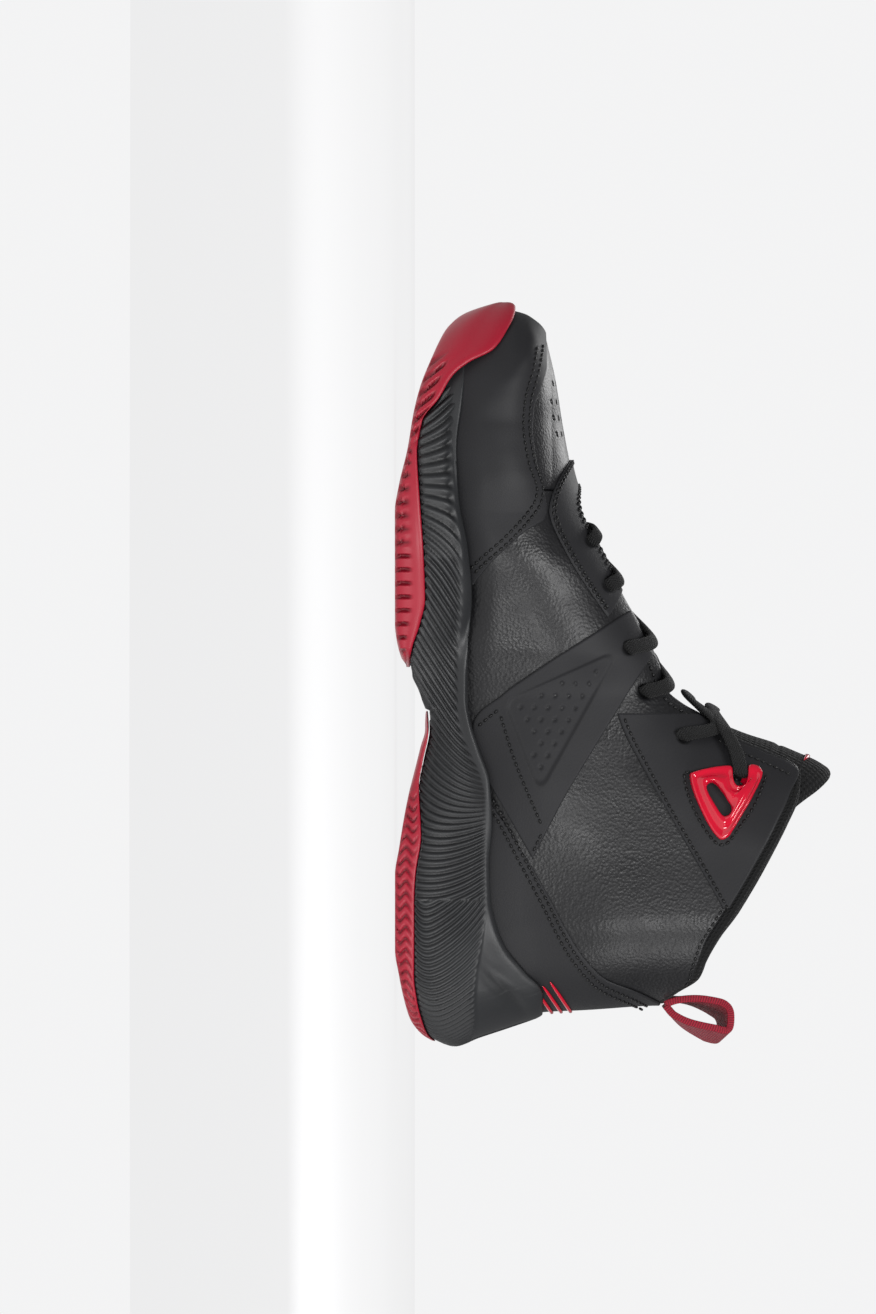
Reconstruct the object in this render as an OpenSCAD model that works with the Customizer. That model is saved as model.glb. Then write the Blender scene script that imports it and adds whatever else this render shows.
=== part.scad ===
// Basketball high top, right foot. Millimetres, +Z up, +Y toward the toe, +X to the wearer's right.
// The origin is on the ground, in the middle of the sole's length and width.
// Curves are written in s, the distance along the shoe from the back of the heel, so y = s - 150.

/* [Size] */
// Length of the sole, heel to toe
shoe_length = 300; // [260:5:330]
// Clear space between layers that are glued or sewn together
seam_gap = 0.4; // [0.3:0.05:0.5]

/* [Upper] */
// Thickness of the leather and of the overlays
leather = 1.2; // [0.8:0.1:1.6]
// Thickness of the textile lining
lining = 1; // [0.6:0.1:1.4]
// Thickness of the heel counter and of the toe puff
stiffener = 1.2; // [0.8:0.1:1.5]
// Depth of the collar lining below the outer face, where the ankle is padded
padding = 8.4; // [6:0.2:10]

/* [Lacing] */
// Radius of the punched lace holes
eyelet_r = 3; // [2.6:0.1:3.4]
// Half width of the flat lace
lace_half_width = 2.3; // [1.5:0.1:2.4]
// Half thickness of the flat lace
lace_half_thick = 0.8; // [0.5:0.1:0.9]

/* [Pull tab] */
// Width of the heel's webbing loop
tab_width = 22; // [14:1:26]
// Thickness of the webbing
tab_thick = 1.8; // [1:0.1:2.4]

/* [Hidden] */

BASE_LENGTH = 300;
MEDIAL = -1;
LATERAL = 1;

RED = "#b83a4b";
TAB_RED = "#8a1430";
BRIGHT_RED = "#dc1438";
BLACK = "#2c2d30";
GRAIN = "#38393c";
MID_BLACK = "#45474b";
GREY = "#8c8d90";
BOARD = "#c9b79a";
FOAM = "#d9d4c4";

// ---- Curves of the sole, each point is [s, value] ----

SOLE_HALF = [[0, 42.5], [30, 42.5], [50, 44], [80, 43.7], [100, 42.2], [120, 42.4], [140, 44.6],
  [160, 49], [180, 54], [200, 55.7], [220, 54.3], [240, 52.3], [260, 51.4], [300, 50.8]];
SOLE_MID = [[0, -5.5], [50, -4.3], [80, -1.8], [100, 1.2], [120, 2.8], [140, 3.4], [160, 3.6],
  [180, 2.2], [200, -0.6], [220, -2.8], [250, -4.2], [280, -4.5], [300, -3.5]];

// Underside of the rubber
TREAD_HEEL = [[0, 15], [5, 10], [10, 6.5], [20, 3.5], [30, 1.5], [40, 0], [70, 0], [80, 1.5],
  [100, 5], [110, 7.5], [120, 10], [128, 12], [136, 11.5]];
TREAD_FORE = [[153, 4], [158, 2], [165, 0.5], [170, 0], [215, 0], [225, 1.5], [240, 5],
  [255, 7.5], [265, 10], [280, 16], [290, 21], [295, 26], [298, 31], [300, 37], [301, 40]];
// Top edge of the rubber on the side wall
RIM_HEEL = [[0, 18], [5, 13], [10, 11], [20, 8.5], [30, 7.3], [60, 7.3], [70, 7.8], [86, 10],
  [105, 9.4], [115, 11], [128, 13.4], [136, 13]];
RIM_FORE = [[153, 5.6], [160, 6.5], [170, 9.5], [180, 11.5], [200, 10.8], [220, 9.5], [240, 8.6],
  [252, 11], [260, 17], [270, 23], [275, 29], [280, 38], [287, 43], [297, 47.5], [301, 48]];
// Underside of the bare midsole between the two rubber pieces
ARCH_LINE = [[128, 13.4], [138, 11], [145, 8.5], [150, 6.5], [155, 6]];
// Top edge of the midsole, where it meets the upper
FEATHER = [[0, 30], [5, 42], [8, 50], [13, 57], [22, 57], [30, 51], [40, 43.5], [50, 39.5],
  [60, 37.5], [75, 37], [90, 38], [107, 37], [120, 33], [130, 30], [140, 28.5], [160, 28.5],
  [180, 30], [200, 28.5], [220, 25], [240, 24], [260, 26.5], [270, 27.5], [300, 28]];
// Floor of the midsole under the foot
BED = [[0, 23], [60, 22], [100, 20], [150, 16], [200, 12], [235, 12], [250, 13.5], [260, 16],
  [270, 19.5], [280, 22.5], [290, 26], [300, 28]];

// How far the side wall stands in from the outline at its foot and at its top
INSET_FOOT = [[0, 4], [90, 4], [112, 8], [148, 8], [170, 4], [300, 4]];
INSET_TOP = [[0, 6], [80, 6], [105, 1], [150, 1], [172, 6.6], [250, 6.6], [280, 4], [300, 4]];

RUBBER = 4;

// ---- Curves of the upper ----

// Height of the crest along the shoe, from the toe up the instep to the tongue
CREST = [[106, 190], [114, 175], [121, 161], [128, 147], [134, 134], [140, 124], [148, 116.5],
  [160, 110], [180, 99], [200, 88.5], [212, 81], [220, 76.8], [230, 73.2], [250, 69],
  [270, 65.7], [285, 62.3], [300, 59]];
// Back of the heel and front of the toe, each point is [z, s]
HEEL_LINE = [[20, 3], [30, 5], [40, 8], [50, 11], [58, 13], [75, 14], [107, 15.8], [180, 16]];
TOE_LINE = [[20, 291], [28, 294], [40, 296.5], [47, 297], [52, 296], [57, 293], [60, 290],
  [62.3, 285], [64, 280]];
UPPER_HALF = [[0, 33.5], [45, 33.5], [80, 35.5], [100, 36.5], [140, 38], [160, 45], [180, 48],
  [200, 51], [220, 50.5], [300, 50.5]];
UPPER_MID = [[0, -4], [45, -4], [80, -0.5], [100, 1.5], [120, 2.8], [180, 3], [200, 1.8],
  [220, 0.3], [250, -2.3], [270, -4.3], [300, -4.5]];
// How far the upper draws in where it meets the midsole
TUCK = [[0, 0.5], [60, 0.5], [100, 1], [150, 1.5], [175, 3.5], [250, 3.5], [280, 1.2], [300, 1]];
ANKLE_HALF = 38;
// How far below the crest the upper reaches its full width: the toe box is flat on top
CREST_ROUND = [[215, 46], [232, 38], [250, 38], [262, 30], [270, 21], [278, 12], [285, 8]];
HEEL_ROUND = 39;
TOE_ROUND = 95;

// Top edge of the leather: collar, lace flap and throat
COLLAR = [[15, 107], [19, 112], [25, 120], [30, 121.5], [40, 126], [50, 132], [70, 144],
  [90, 155], [104, 161.5], [111, 163], [114, 160], [118, 151], [122, 141], [126, 132],
  [132, 126], [137, 117], [142, 111], [150, 108.5], [160, 104.5], [180, 93.5], [200, 83.5],
  [212, 77.5], [222, 73]];
// Lower edge of the ankle panel
ANKLE_SEAM = [[53, 133], [70, 123.5], [90, 112], [110, 101], [130, 91], [136, 89]];
// Upper edge of the heel overlay
HEEL_SEAM = [[15, 107], [20, 98], [27, 84], [32, 79], [40, 73], [60, 62.5], [76, 54],
  [95, 44], [107, 37]];
// Upper edge of the mudguard
MUDGUARD_SEAM = [[186, 30], [193, 37], [200, 45], [207, 52], [213, 57], [218, 60], [224, 61],
  [236, 57.5], [250, 55.5], [258, 56], [272, 59.5], [283, 61.2], [300, 61.2]];
// Upper and lower edges of the side strap, each point is [s, z]
STRAP_UPPER = [[76, 55], [100, 67.5], [120, 79.5], [140, 92], [158, 104]];
STRAP_LOWER = [[106, 38], [130, 31], [142, 43], [149, 53], [161, 71], [171, 87], [176, 95]];
// Throat overlay: inner and outer edges, each point is [s, angle over the crest]
THROAT_INNER = [[184, 27], [200, 26], [213, 24], [221, 16], [225, 0]];
THROAT_OUTER = [[173, 51], [198, 56], [218, 49], [231, 30], [237, 0]];

// Lace holes, each point is [s, z]
EYELETS = [[204, 79], [186, 86], [160.5, 94], [143, 101], [125, 116], [110, 138.2]];

// Tongue: front face in the middle, from the throat up, each point is [s, z]
TONGUE_FRONT = [[222, 67.5], [205, 76], [185, 86.5], [165, 97.5], [150, 105.5], [140, 112.5],
  [133, 124], [127, 139], [121.5, 155.5], [116, 169], [110.5, 177.5]];
// Its half width, how far its edges bend back, and its thickness, by fraction of its length
TONGUE_HALF = [[0, 15], [0.2, 19], [0.5, 22], [0.8, 25], [1, 25]];
TONGUE_BEND = [[0, 3], [0.5, 6], [0.75, 13], [1, 22]];
TONGUE_THICK = [[0, 2.4], [0.25, 4.2], [0.7, 5.5], [1, 4.2]];
TONGUE_COVER = 1.1;

// Loop for the ankle lace: its outline with the notch, a line along its middle, and its slot
LOOP_OUTLINE = [[83.8, 131], [85, 133.5], [88, 135.6], [92.8, 138.5], [98, 141.7], [103, 144.4],
  [107, 146.4], [109.8, 147], [112, 145.5], [112.8, 143], [112, 141.3], [108, 141], [105.2, 140],
  [104.4, 138.1], [105.2, 136.2], [108, 135.2], [111.8, 134.8], [112.5, 132.5], [111.8, 126],
  [110.2, 119], [108.6, 117.9], [103, 119.2], [95.4, 122.4], [88.7, 126], [84.7, 129.1]];
LOOP_MIDDLE = [[88.4, 131.3], [89, 133], [91, 134.8], [94, 136.7], [97.5, 138.8], [101.5, 141.2],
  [104, 142.8], [106, 143.7], [107, 143.6], [107.3, 143], [106.5, 142.2], [104.8, 141.6], [103, 139.8],
  [102.3, 137.5], [103, 135], [104.8, 133.8], [107, 133.4], [108.5, 132.3], [108.8, 127],
  [108, 122], [107, 121], [103.5, 122], [98.5, 124], [93, 127], [89.5, 129.5]];
LOOP_SLOT = [[93, 131.5], [93.1, 132.8], [93.8, 133.9], [94.6, 134.4], [95.4, 134.6], [96.2, 134.6],
  [96.8, 134.5], [97.2, 134.4], [97.6, 134.2], [98, 134], [98.4, 133.7], [98.9, 133.3], [99.8, 132.7],
  [101, 132], [102, 131.3], [102.8, 130.7], [103.6, 130.1], [104.8, 129.2], [106.1, 127.6],
  [106.2, 126.2], [105.4, 125.1], [104, 124.7], [101.5, 125.6], [97.5, 128], [94.3, 130.1]];

// Pull tab: outer and inner outline of the loop, each point is [s, z]
TAB_OUTER = [[15.6, 108.4], [12, 111.5], [8, 117], [5, 124], [3, 130.5], [3.6, 133.2],
  [6.5, 134.4], [12, 134.2], [15.4, 131.5], [18, 125], [19.2, 119], [19.2, 113], [18, 108.4]];
TAB_INNER = [[16.7, 110.6], [13.2, 113.2], [9.8, 118.2], [7, 124.8], [5.4, 130.2], [6.4, 132.2],
  [11.4, 132.2], [14, 130], [16.2, 124.6], [17.3, 118.8], [17.3, 113.4]];

// ---- General functions ----

// Quarter of a superellipse: 0 at u = 0, level from u = 1
function arch(u, p) = pow(1 - pow(1 - min(max(u, 0), 1), p), 1 / p);
function mix(a, b, t) = a + (b - a) * t;
function ramp(x, a, b) = min(max((x - a) / (b - a), 0), 1);
function joined(lists) = [for (part = lists) each part];
function unit(v) = v / max(norm(v), 1e-6);

// Point at a fraction of the way along an open line, by its number of points
function along(line, t) =
  let (u = t * (len(line) - 1), i = min(floor(u), len(line) - 2)) mix(line[i], line[i + 1], u - i);

function gap_to_line(p, a, b) =
  let (t = ramp((p - a) * (b - a) / ((b - a) * (b - a)), 0, 1)) norm(p - mix(a, b, t));

// Numbers from a to b, closer together toward both ends
function stations(a, b, round_a, round_b, n_a, n_mid, n_b) = joined([
  [for (i = [0 : n_a - 1]) a + round_a * (1 - cos(90 * i / n_a))],
  [for (i = [0 : n_mid]) mix(a + round_a, b - round_b, i / n_mid)],
  [for (i = [n_b - 1 : -1 : 0]) b - round_b * (1 - cos(90 * i / n_b))]
]);

// ---- Surface of the upper ----

function crest_z(s) = lookup(s, CREST);
function crest_gap(s, z) =
  z > crest_z(s) ? 0 : min([for (i = [0 : len(CREST) - 2]) gap_to_line([s, z], CREST[i], CREST[i + 1])]);

function girth(s, z) =
  let (
    foot = lookup(s, UPPER_HALF),
    ankle = ANKLE_HALF + 2 * ramp(z, 120, 150),
    rise = ramp(z, 55, 85) * (1 - ramp(s, 125, 155)),
    swell = 5 * exp(-pow((z - 60) / 22, 2)) * exp(-pow((s - 112) / 34, 2)),
    tuck = lookup(s, TUCK) * pow(ramp(lookup(s, FEATHER) + 12 - z, 0, 12), 2)
  ) mix(foot, ankle, rise) + swell - tuck;

function upper_half(s, z) = girth(s, z) * arch((s - lookup(z, HEEL_LINE)) / HEEL_ROUND, 2.1)
  * arch((lookup(z, TOE_LINE) - s) / TOE_ROUND, 2.2) * arch(crest_gap(s, z) / lookup(s, CREST_ROUND), 2);

function upper_point(s, z, side) =
  [lookup(s, UPPER_MID) + side * upper_half(s, z), s - BASE_LENGTH / 2, z];

// A point at e from the back of the heel, negative on the medial side
function heel_point(e, z) = upper_point(lookup(z, HEEL_LINE) + abs(e), z, e < 0 ? MEDIAL : LATERAL);
// A point at g from the front of the toe, negative on the medial side
function toe_point(g, z) = upper_point(lookup(z, TOE_LINE) - abs(g), z, g < 0 ? MEDIAL : LATERAL);
// A point over the crest at an angle, negative on the medial side
function crest_point(s, angle) =
  upper_point(s, crest_z(s) - lookup(s, CREST_ROUND) * (1 - cos(angle)), angle < 0 ? MEDIAL : LATERAL);

// ---- Sheets: a grid of points made into a closed layer ----

function grid_normal(g, i, j) =
  let (
    a = g[min(i + 1, len(g) - 1)][j] - g[max(i - 1, 0)][j],
    b = g[i][min(j + 1, len(g[0]) - 1)] - g[i][max(j - 1, 0)]
  ) unit(cross(a, b));

// Moves a grid along its normals, by a depth that may change from row to row
function moved(g, depth) =
  [for (i = [0 : len(g) - 1]) [for (j = [0 : len(g[0]) - 1])
    g[i][j] + grid_normal(g, i, j) * (is_function(depth) ? depth(i, j) : depth)]];

// Two triangles for a cell, with the corners in turning order
function cell(a, b, c, d) = [[a, b, c], [a, c, d]];

// Closed layer between two grids of the same size, top is the outer one
module layer(bottom, top) {
  m = len(bottom);
  n = len(bottom[0]);
  k = m * n;
  function at(i, j) = i * n + j;
  polyhedron(
    points = joined([joined(bottom), joined(top)]),
    faces = joined([
      joined([for (i = [0 : m - 2]) for (j = [0 : n - 2]) joined([
        cell(at(i, j), at(i + 1, j), at(i + 1, j + 1), at(i, j + 1)),
        cell(k + at(i, j), k + at(i, j + 1), k + at(i + 1, j + 1), k + at(i + 1, j))])]),
      joined([for (i = [0 : m - 2]) joined([
        cell(at(i, 0), k + at(i, 0), k + at(i + 1, 0), at(i + 1, 0)),
        cell(at(i + 1, n - 1), k + at(i + 1, n - 1), k + at(i, n - 1), at(i, n - 1))])]),
      joined([for (j = [0 : n - 2]) joined([
        cell(at(0, j + 1), k + at(0, j + 1), k + at(0, j), at(0, j)),
        cell(at(m - 1, j), k + at(m - 1, j), k + at(m - 1, j + 1), at(m - 1, j + 1))])])
    ])
  );
}

// Layer between two heights over the outer face; turn is -1 where the grid's normals point in
module skin(g, outer, inner, turn = 1) {
  h = turn < 0 ? [for (i = [len(g) - 1 : -1 : 0]) g[i]] : g;
  layer(moved(h, inner), moved(h, outer));
}

// Grid of columns at distances from the heel, each from a low to a high edge given by s
function heel_grid(places, low, high, rows) =
  [for (e = places) let (s = abs(e) + 14) [for (j = [0 : rows])
    heel_point(e, mix(low(s), high(s), 0.4 * sin(90 * j / rows) + 0.6 * j / rows))]];
function toe_grid(places, low, high, rows) =
  [for (g = places) let (s = 296 - abs(g)) [for (j = [0 : rows])
    toe_point(g, mix(low(s), high(s), sin(90 * j / rows)))]];
// Grid between two lines on one side of the upper, given by [s, z]
function side_grid(line_a, line_b, side, m, n) =
  [for (i = [0 : m]) [for (j = [0 : n])
    let (p = mix(along(line_a, i / m), along(line_b, i / m), j / n)) upper_point(p[0], p[1], side)]];

function both_sides(list) = concat([for (i = [len(list) - 1 : -1 : 1]) -list[i]], list);

// ---- Sole pieces: closed rings lofted from the bottom up the outside and down the inside ----

// One ring between two ends, set in from the outline, at heights given by s
function ring(a, b, round_a, round_b, inset, height, counts) =
  let (
    places = stations(a, b, round_a, round_b, counts[0], counts[1], counts[2]),
    last = len(places) - 1
  )
  [for (i = [0 : 2 * last - 1])
    let (
      s = places[i <= last ? i : 2 * last - i],
      half = (lookup(s, SOLE_HALF) - inset(s)) * arch((s - a) / round_a, 2.1)
        * arch((b - s) / round_b, 2.2)
    )
    [lookup(s, SOLE_MID) + (i <= last ? MEDIAL : LATERAL) * half, s - BASE_LENGTH / 2, height(s)]];

function cap(k, n, flip) =
  let (half = n / 2, strip = joined([
    [[k, k + 1, k + n - 1]],
    joined([for (i = [1 : half - 2]) cell(k + i, k + i + 1, k + n - i - 1, k + n - i)]),
    [[k + half - 1, k + half, k + half + 1]]]))
  [for (f = strip) flip ? [f[2], f[1], f[0]] : f];

module loft(rings) {
  n = len(rings[0]);
  m = len(rings);
  polyhedron(
    points = joined(rings),
    faces = joined([
      cap(0, n, true),
      joined([for (r = [0 : m - 2]) for (i = [0 : n - 1])
        cell(r * n + i, r * n + (i + 1) % n, (r + 1) * n + (i + 1) % n, (r + 1) * n + i)]),
      cap((m - 1) * n, n, false)
    ])
  );
}

module graded() {
  scale(shoe_length / BASE_LENGTH) children();
}

// ---- Sole ----

// How much narrower the waist of the sole is at its foot than at its top
function waist(s) = 5 * ramp(s, 90, 115) * (1 - ramp(s, 148, 165));

module outsole_forefoot() {
  counts = [3, 6, 7];
  function tread(s) = lookup(s, TREAD_FORE);
  function rim(s) = lookup(s, RIM_FORE);
  color(RED) graded() loft([
    ring(156, 288, 8, 92, function(s) lookup(s, INSET_FOOT), function(s) tread(s), counts),
    ring(154, 295.5, 8, 97, function(s) 1.4, function(s) tread(s) + 0.6, counts),
    ring(153, 300, 8, 100, function(s) 0.2, function(s) mix(tread(s), rim(s), 0.25), counts),
    ring(153, 300.5, 8, 100, function(s) 0, function(s) mix(tread(s), rim(s), 0.6), counts),
    ring(153.4, 299.6, 8, 100, function(s) 0.3, function(s) rim(s), counts),
    ring(154.4, 298.2, 8, 99, function(s) 1.7, function(s) rim(s), counts),
    ring(155.5, 297.4, 8, 98, function(s) mix(3, 1, ramp(s, 240, 275)),
      function(s) mix(tread(s) + RUBBER, rim(s), 0.4), counts),
    ring(157, 294.6, 8, 97, function(s) mix(5, 1.4, ramp(s, 240, 275)),
      function(s) tread(s) + RUBBER, counts)
  ]);
}

module outsole_heel() {
  counts = [5, 9, 3];
  function tread(s) = lookup(s, TREAD_HEEL);
  function rim(s) = lookup(s, RIM_HEEL);
  function inside(s) = min(tread(s) + RUBBER, rim(s) - 0.4);
  color(RED) graded() loft([
    ring(9, 130, 40, 10, function(s) 4 + waist(s), function(s) tread(s), counts),
    ring(4.5, 134, 41, 10, function(s) 1.4 + waist(s), function(s) tread(s) + 0.5, counts),
    ring(2.2, 135, 42, 10, function(s) 0.2 + waist(s), function(s) mix(tread(s), rim(s), 0.6), counts),
    ring(1.8, 135, 42, 10, function(s) 0.3 + waist(s), function(s) rim(s), counts),
    ring(3.6, 133.5, 42, 10, function(s) 1.9 + waist(s), function(s) rim(s), counts),
    ring(8, 130, 40, 10, function(s) 5.5 + waist(s), function(s) inside(s), counts)
  ]);
}

// Ring that follows the upper at a margin from its outer face, negative inside it
function upper_ring(a, b, margin, height, counts) =
  let (
    places = stations(a, b, 40, 90, counts[0], counts[1], counts[2]),
    last = len(places) - 1
  )
  [for (i = [0 : 2 * last - 1])
    let (
      s = places[i <= last ? i : 2 * last - i],
      z = height(s),
      u = mix(lookup(z, HEEL_LINE), lookup(z, TOE_LINE), (s - a) / (b - a)),
      half = upper_half(u, z) * (1 + margin / 38)
    )
    [lookup(u, UPPER_MID) + (i <= last ? MEDIAL : LATERAL) * half, s - BASE_LENGTH / 2, z]];

// Top face of the rubber under the midsole, and the arch between the two rubber pieces
function midsole_foot(s) =
  s < 131 ? min(lookup(s, TREAD_HEEL) + RUBBER, lookup(s, RIM_HEEL)) + seam_gap
  : s > 156 ? lookup(s, TREAD_FORE) + RUBBER + seam_gap
  : lookup(s, [[131, 14.2], [137, 14], [142, 10.8], [150, 7.4], [156, 6.7]]);
function rubber_rim(s) =
  s < 136 ? lookup(s, RIM_HEEL) : s > 154 ? lookup(s, RIM_FORE) : lookup(s, ARCH_LINE);

module midsole() {
  counts = [6, 14, 7];
  function feather(s) = s < 22 ? 57.5 : lookup(s, FEATHER);
  function rise(s) = 0.4 * ramp(s, 112, 123) * (1 - ramp(s, 136, 140));
  function toe_limit(s) = lookup(s, [[0, 60], [262, 60], [268, 24.5], [293, 26]]);
  function low(s) = min(rubber_rim(s) + seam_gap + rise(s), toe_limit(s));
  function side(s, f) = mix(low(s), feather(s), f);
  function shoulder(s) = side(s, 0.75 - 0.15 * ramp(s, 258, 272));
  function toe_in(s, inset) = mix(inset, 3.9, ramp(s, 258, 272));
  color(MID_BLACK) graded() loft([
    ring(12, 288, 40, 92, function(s) 6.8 + waist(s), function(s) midsole_foot(s), counts),
    ring(5.5, 289.5, 41, 95, function(s) toe_in(s, 2.9) + waist(s), function(s) low(s), counts),
    ring(2.4, 291.5, 42, 96, function(s) toe_in(s, 0.8) + waist(s), function(s) low(s) + 0.1, counts),
    ring(-0.5, 292, 42, 96, function(s) toe_in(s, 0.1) + waist(s) * 0.7, function(s) side(s, 0.15), counts),
    ring(3, 292, 42, 96, function(s) toe_in(s, 0.7) + waist(s) * 0.35, function(s) side(s, 0.45), counts),
    ring(7, 292, 42, 96, function(s) toe_in(s, 2.6), function(s) shoulder(s), counts),
    ring(10.8, 292, 42, 96, function(s) lookup(s, INSET_TOP), function(s) feather(s) - 0.5, counts),
    upper_ring(12.1, 291.8, 1.2, function(s) feather(s), counts),
    upper_ring(5.6, 291.2, 1.1, function(s) mix(lookup(s, BED), feather(s), 0.35), counts),
    upper_ring(3.5, 289.5, 0.4, function(s) lookup(s, BED), counts)
  ]);
}

SHANK = 1.4;
BOARD_THICK = 1.6;
function board_low(s) =
  lookup(s, BED) + 0.5 + (SHANK + 0.2) * ramp(s, 55, 66) * (1 - ramp(s, 168, 180));
function board_high(s) = board_low(s) + BOARD_THICK;
function sock_low(s) = board_high(s) + 0.2;
function sock_high(s) = sock_low(s) + lookup(s, [[0, 6], [60, 5.5], [120, 5], [180, 4], [300, 3.4]]);

module shank() {
  color("#6f7276") graded() loft([
    ring(70, 165, 12, 12, function(s) 24, function(s) lookup(s, BED) + 0.2, [3, 3, 3]),
    ring(70, 165, 12, 12, function(s) 24, function(s) lookup(s, BED) + 0.2 + SHANK, [3, 3, 3])
  ]);
}

// Slab that lies on the bed, set in from the outer face of the upper
module bed_slab(a, b, margin, low, high, counts) {
  loft([upper_ring(a, b, margin, low, counts), upper_ring(a, b, margin, high, counts)]);
}

module strobel_board() {
  color(BOARD) graded()
    bed_slab(12, 282, -7.4, function(s) board_low(s), function(s) board_high(s), [5, 12, 5]);
}

module sockliner() {
  color("#3a0c18") graded()
    bed_slab(14, 280, -8, function(s) sock_low(s), function(s) sock_high(s), [5, 12, 5]);
}

// ---- Upper ----

// Depths of the layers below the outer face
BASE_OUT = leather + seam_gap + 0.2;
BASE_IN = BASE_OUT + leather;
STIFF_OUT = BASE_IN + seam_gap;
STIFF_IN = STIFF_OUT + stiffener;
LINING_OUT = STIFF_IN + seam_gap;
LINING_IN = LINING_OUT + lining;

// Extra room between the layers where the toe box turns sharply
TOE_GAP = 0.7;

function low_edge(s) = lookup(s, BED) + 2;
function collar(s) = lookup(s, COLLAR);

// Distances from the back of the heel that all the layers round the heel share
HEEL_FAN = [0, 1.5, 4, 8, 13, 20, 28, 38, 52];
QUARTER_PLACES = concat([0.25], [for (i = [1 : len(HEEL_FAN) - 1]) HEEL_FAN[i]],
  [70, 80, 88, 97, 101, 106, 111, 117, 123, 130, 140, 155, 170, 185, 198, 209]);

module quarter(side) {
  g = heel_grid([for (e = QUARTER_PLACES) side * e], function(s) low_edge(s),
    function(s) collar(s), 9);
  color(GRAIN) graded() difference() {
    skin(g, -BASE_OUT, -BASE_IN, side);
    eyelet_holes(side, EYELETS);
  }
}

// Direction out of the upper at a point
function out_of(s, z, side) =
  let (
    a = upper_point(s + 1, z, side) - upper_point(s - 1, z, side),
    b = upper_point(s, z + 1, side) - upper_point(s, z - 1, side)
  ) side * unit(cross(a, b));

module eyelet_holes(side, places) {
  for (p = places) {
    n = out_of(p[0], p[1], side);
    translate(upper_point(p[0], p[1], side))
      rotate([0, acos(n[2]), atan2(n[1], n[0])])
        cylinder(r = eyelet_r, h = 16, center = true, $fn = 32);
  }
}

module quarter_medial() { quarter(MEDIAL); }
module quarter_lateral() { quarter(LATERAL); }

module quarter_lining() {
  places = both_sides(concat(HEEL_FAN, [70, 82, 88, 97, 106, 114, 123, 140, 155, 170, 185, 198]));
  g = heel_grid(places, function(s) low_edge(s), function(s) min(72, crest_z(s) - 24), 4);
  color("#1c1c1f") graded() skin(g, -LINING_OUT, -LINING_IN);
}

// Places across the vamp, as a fraction of the way down its side
function vamp_grid(s_list, low, n) =
  [for (s = s_list) let (top = min(crest_z(s), lookup(s, [[284, 80], [285, 62.3], [290, 60], [293, 57]])))
    [for (j = [-n : n]) upper_point(s, top - (top - low(s)) * (1 - cos(88 * abs(j) / n)),
      j < 0 ? MEDIAL : LATERAL)]];

module vamp() {
  g = vamp_grid([225.5, 232, 240, 250, 260, 269, 277, 284, 288], function(s) lookup(s, [[225, 47],
    [240, 44], [262, 46], [280, 50], [292, 53]]), 6);
  color(GRAIN) graded() skin(g, -BASE_OUT - TOE_GAP, -BASE_IN - TOE_GAP, -1);
}

module vamp_lining() {
  g = vamp_grid([214, 222, 232, 245, 258, 270, 278, 284], function(s) lookup(s, [[214, 36],
    [260, 38], [284, 45]]), 5);
  color("#1c1c1f") graded() skin(g, -LINING_OUT - TOE_GAP, -LINING_IN - TOE_GAP, -1);
}

module toe_puff() {
  g = vamp_grid([258, 269, 277, 284, 287], function(s) lookup(s, [[258, 42], [280, 46], [287, 51]]), 6);
  color(BOARD) graded() skin(g, -STIFF_OUT - TOE_GAP, -STIFF_IN - TOE_GAP, -1);
}

module mudguard() {
  places = both_sides([0, 2, 6, 12, 20, 29, 38, 48, 58, 66, 72, 78, 84, 90, 97, 103, 109]);
  g = toe_grid(places, function(s) mix(low_edge(s), 29, ramp(s, 262, 290)),
    function(s) max(lookup(s, MUDGUARD_SEAM), low_edge(s) + 6), 6);
  color(BLACK) graded() skin(g, 0, -leather, -1);
}

module throat_overlay() {
  path_in = concat([for (p = THROAT_INNER) [p[0], -p[1]]],
    [for (i = [len(THROAT_INNER) - 2 : -1 : 0]) THROAT_INNER[i]]);
  path_out = concat([for (p = THROAT_OUTER) [p[0], -p[1]]],
    [for (i = [len(THROAT_OUTER) - 2 : -1 : 0]) THROAT_OUTER[i]]);
  m = 20;
  g = [for (i = [0 : m]) [for (j = [0 : 3])
    let (p = mix(along(path_in, i / m), along(path_out, i / m), j / 3)) crest_point(p[0], p[1])]];
  color(BLACK) graded() difference() {
    skin(g, 0, -leather);
    eyelet_holes(MEDIAL, [EYELETS[0], EYELETS[1]]);
    eyelet_holes(LATERAL, [EYELETS[0], EYELETS[1]]);
  }
}

module eyestay_backing(side) {
  line = [147, 152, 158, 168, 182, 198, 212, 220];
  g = [for (s = line) [for (j = [0 : 2]) upper_point(s, collar(s) - 0.5 - (1 - j / 2) * 14, side)]];
  color(GREY) graded() difference() {
    skin(g, -STIFF_OUT, -STIFF_IN, side);
    eyelet_holes(side, [for (i = [0 : 2]) EYELETS[i]]);
  }
}

module eyestay_backing_medial() { eyestay_backing(MEDIAL); }
module eyestay_backing_lateral() { eyestay_backing(LATERAL); }

module strap(side) {
  g = side_grid(STRAP_LOWER, STRAP_UPPER, side, 12, 5);
  color(BLACK) graded() difference() {
    skin(g, 0, -leather, side);
    eyelet_holes(side, [EYELETS[2]]);
  }
}

module strap_medial() { strap(MEDIAL); }
module strap_lateral() { strap(LATERAL); }

module ankle_panel(side) {
  places = [54, 66, 80, 86, 92, 98, 104, 108, 111, 115, 119, 123, 128, 134];
  g = [for (s = places) [for (j = [0 : 5])
    upper_point(s, mix(lookup(s, ANKLE_SEAM), collar(s), j / 5), side)]];
  color(BLACK) graded() difference() {
    skin(g, 0, -leather, side);
    eyelet_holes(side, [EYELETS[4], EYELETS[5]]);
  }
}

module ankle_panel_medial() { ankle_panel(MEDIAL); }
module ankle_panel_lateral() { ankle_panel(LATERAL); }

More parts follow.
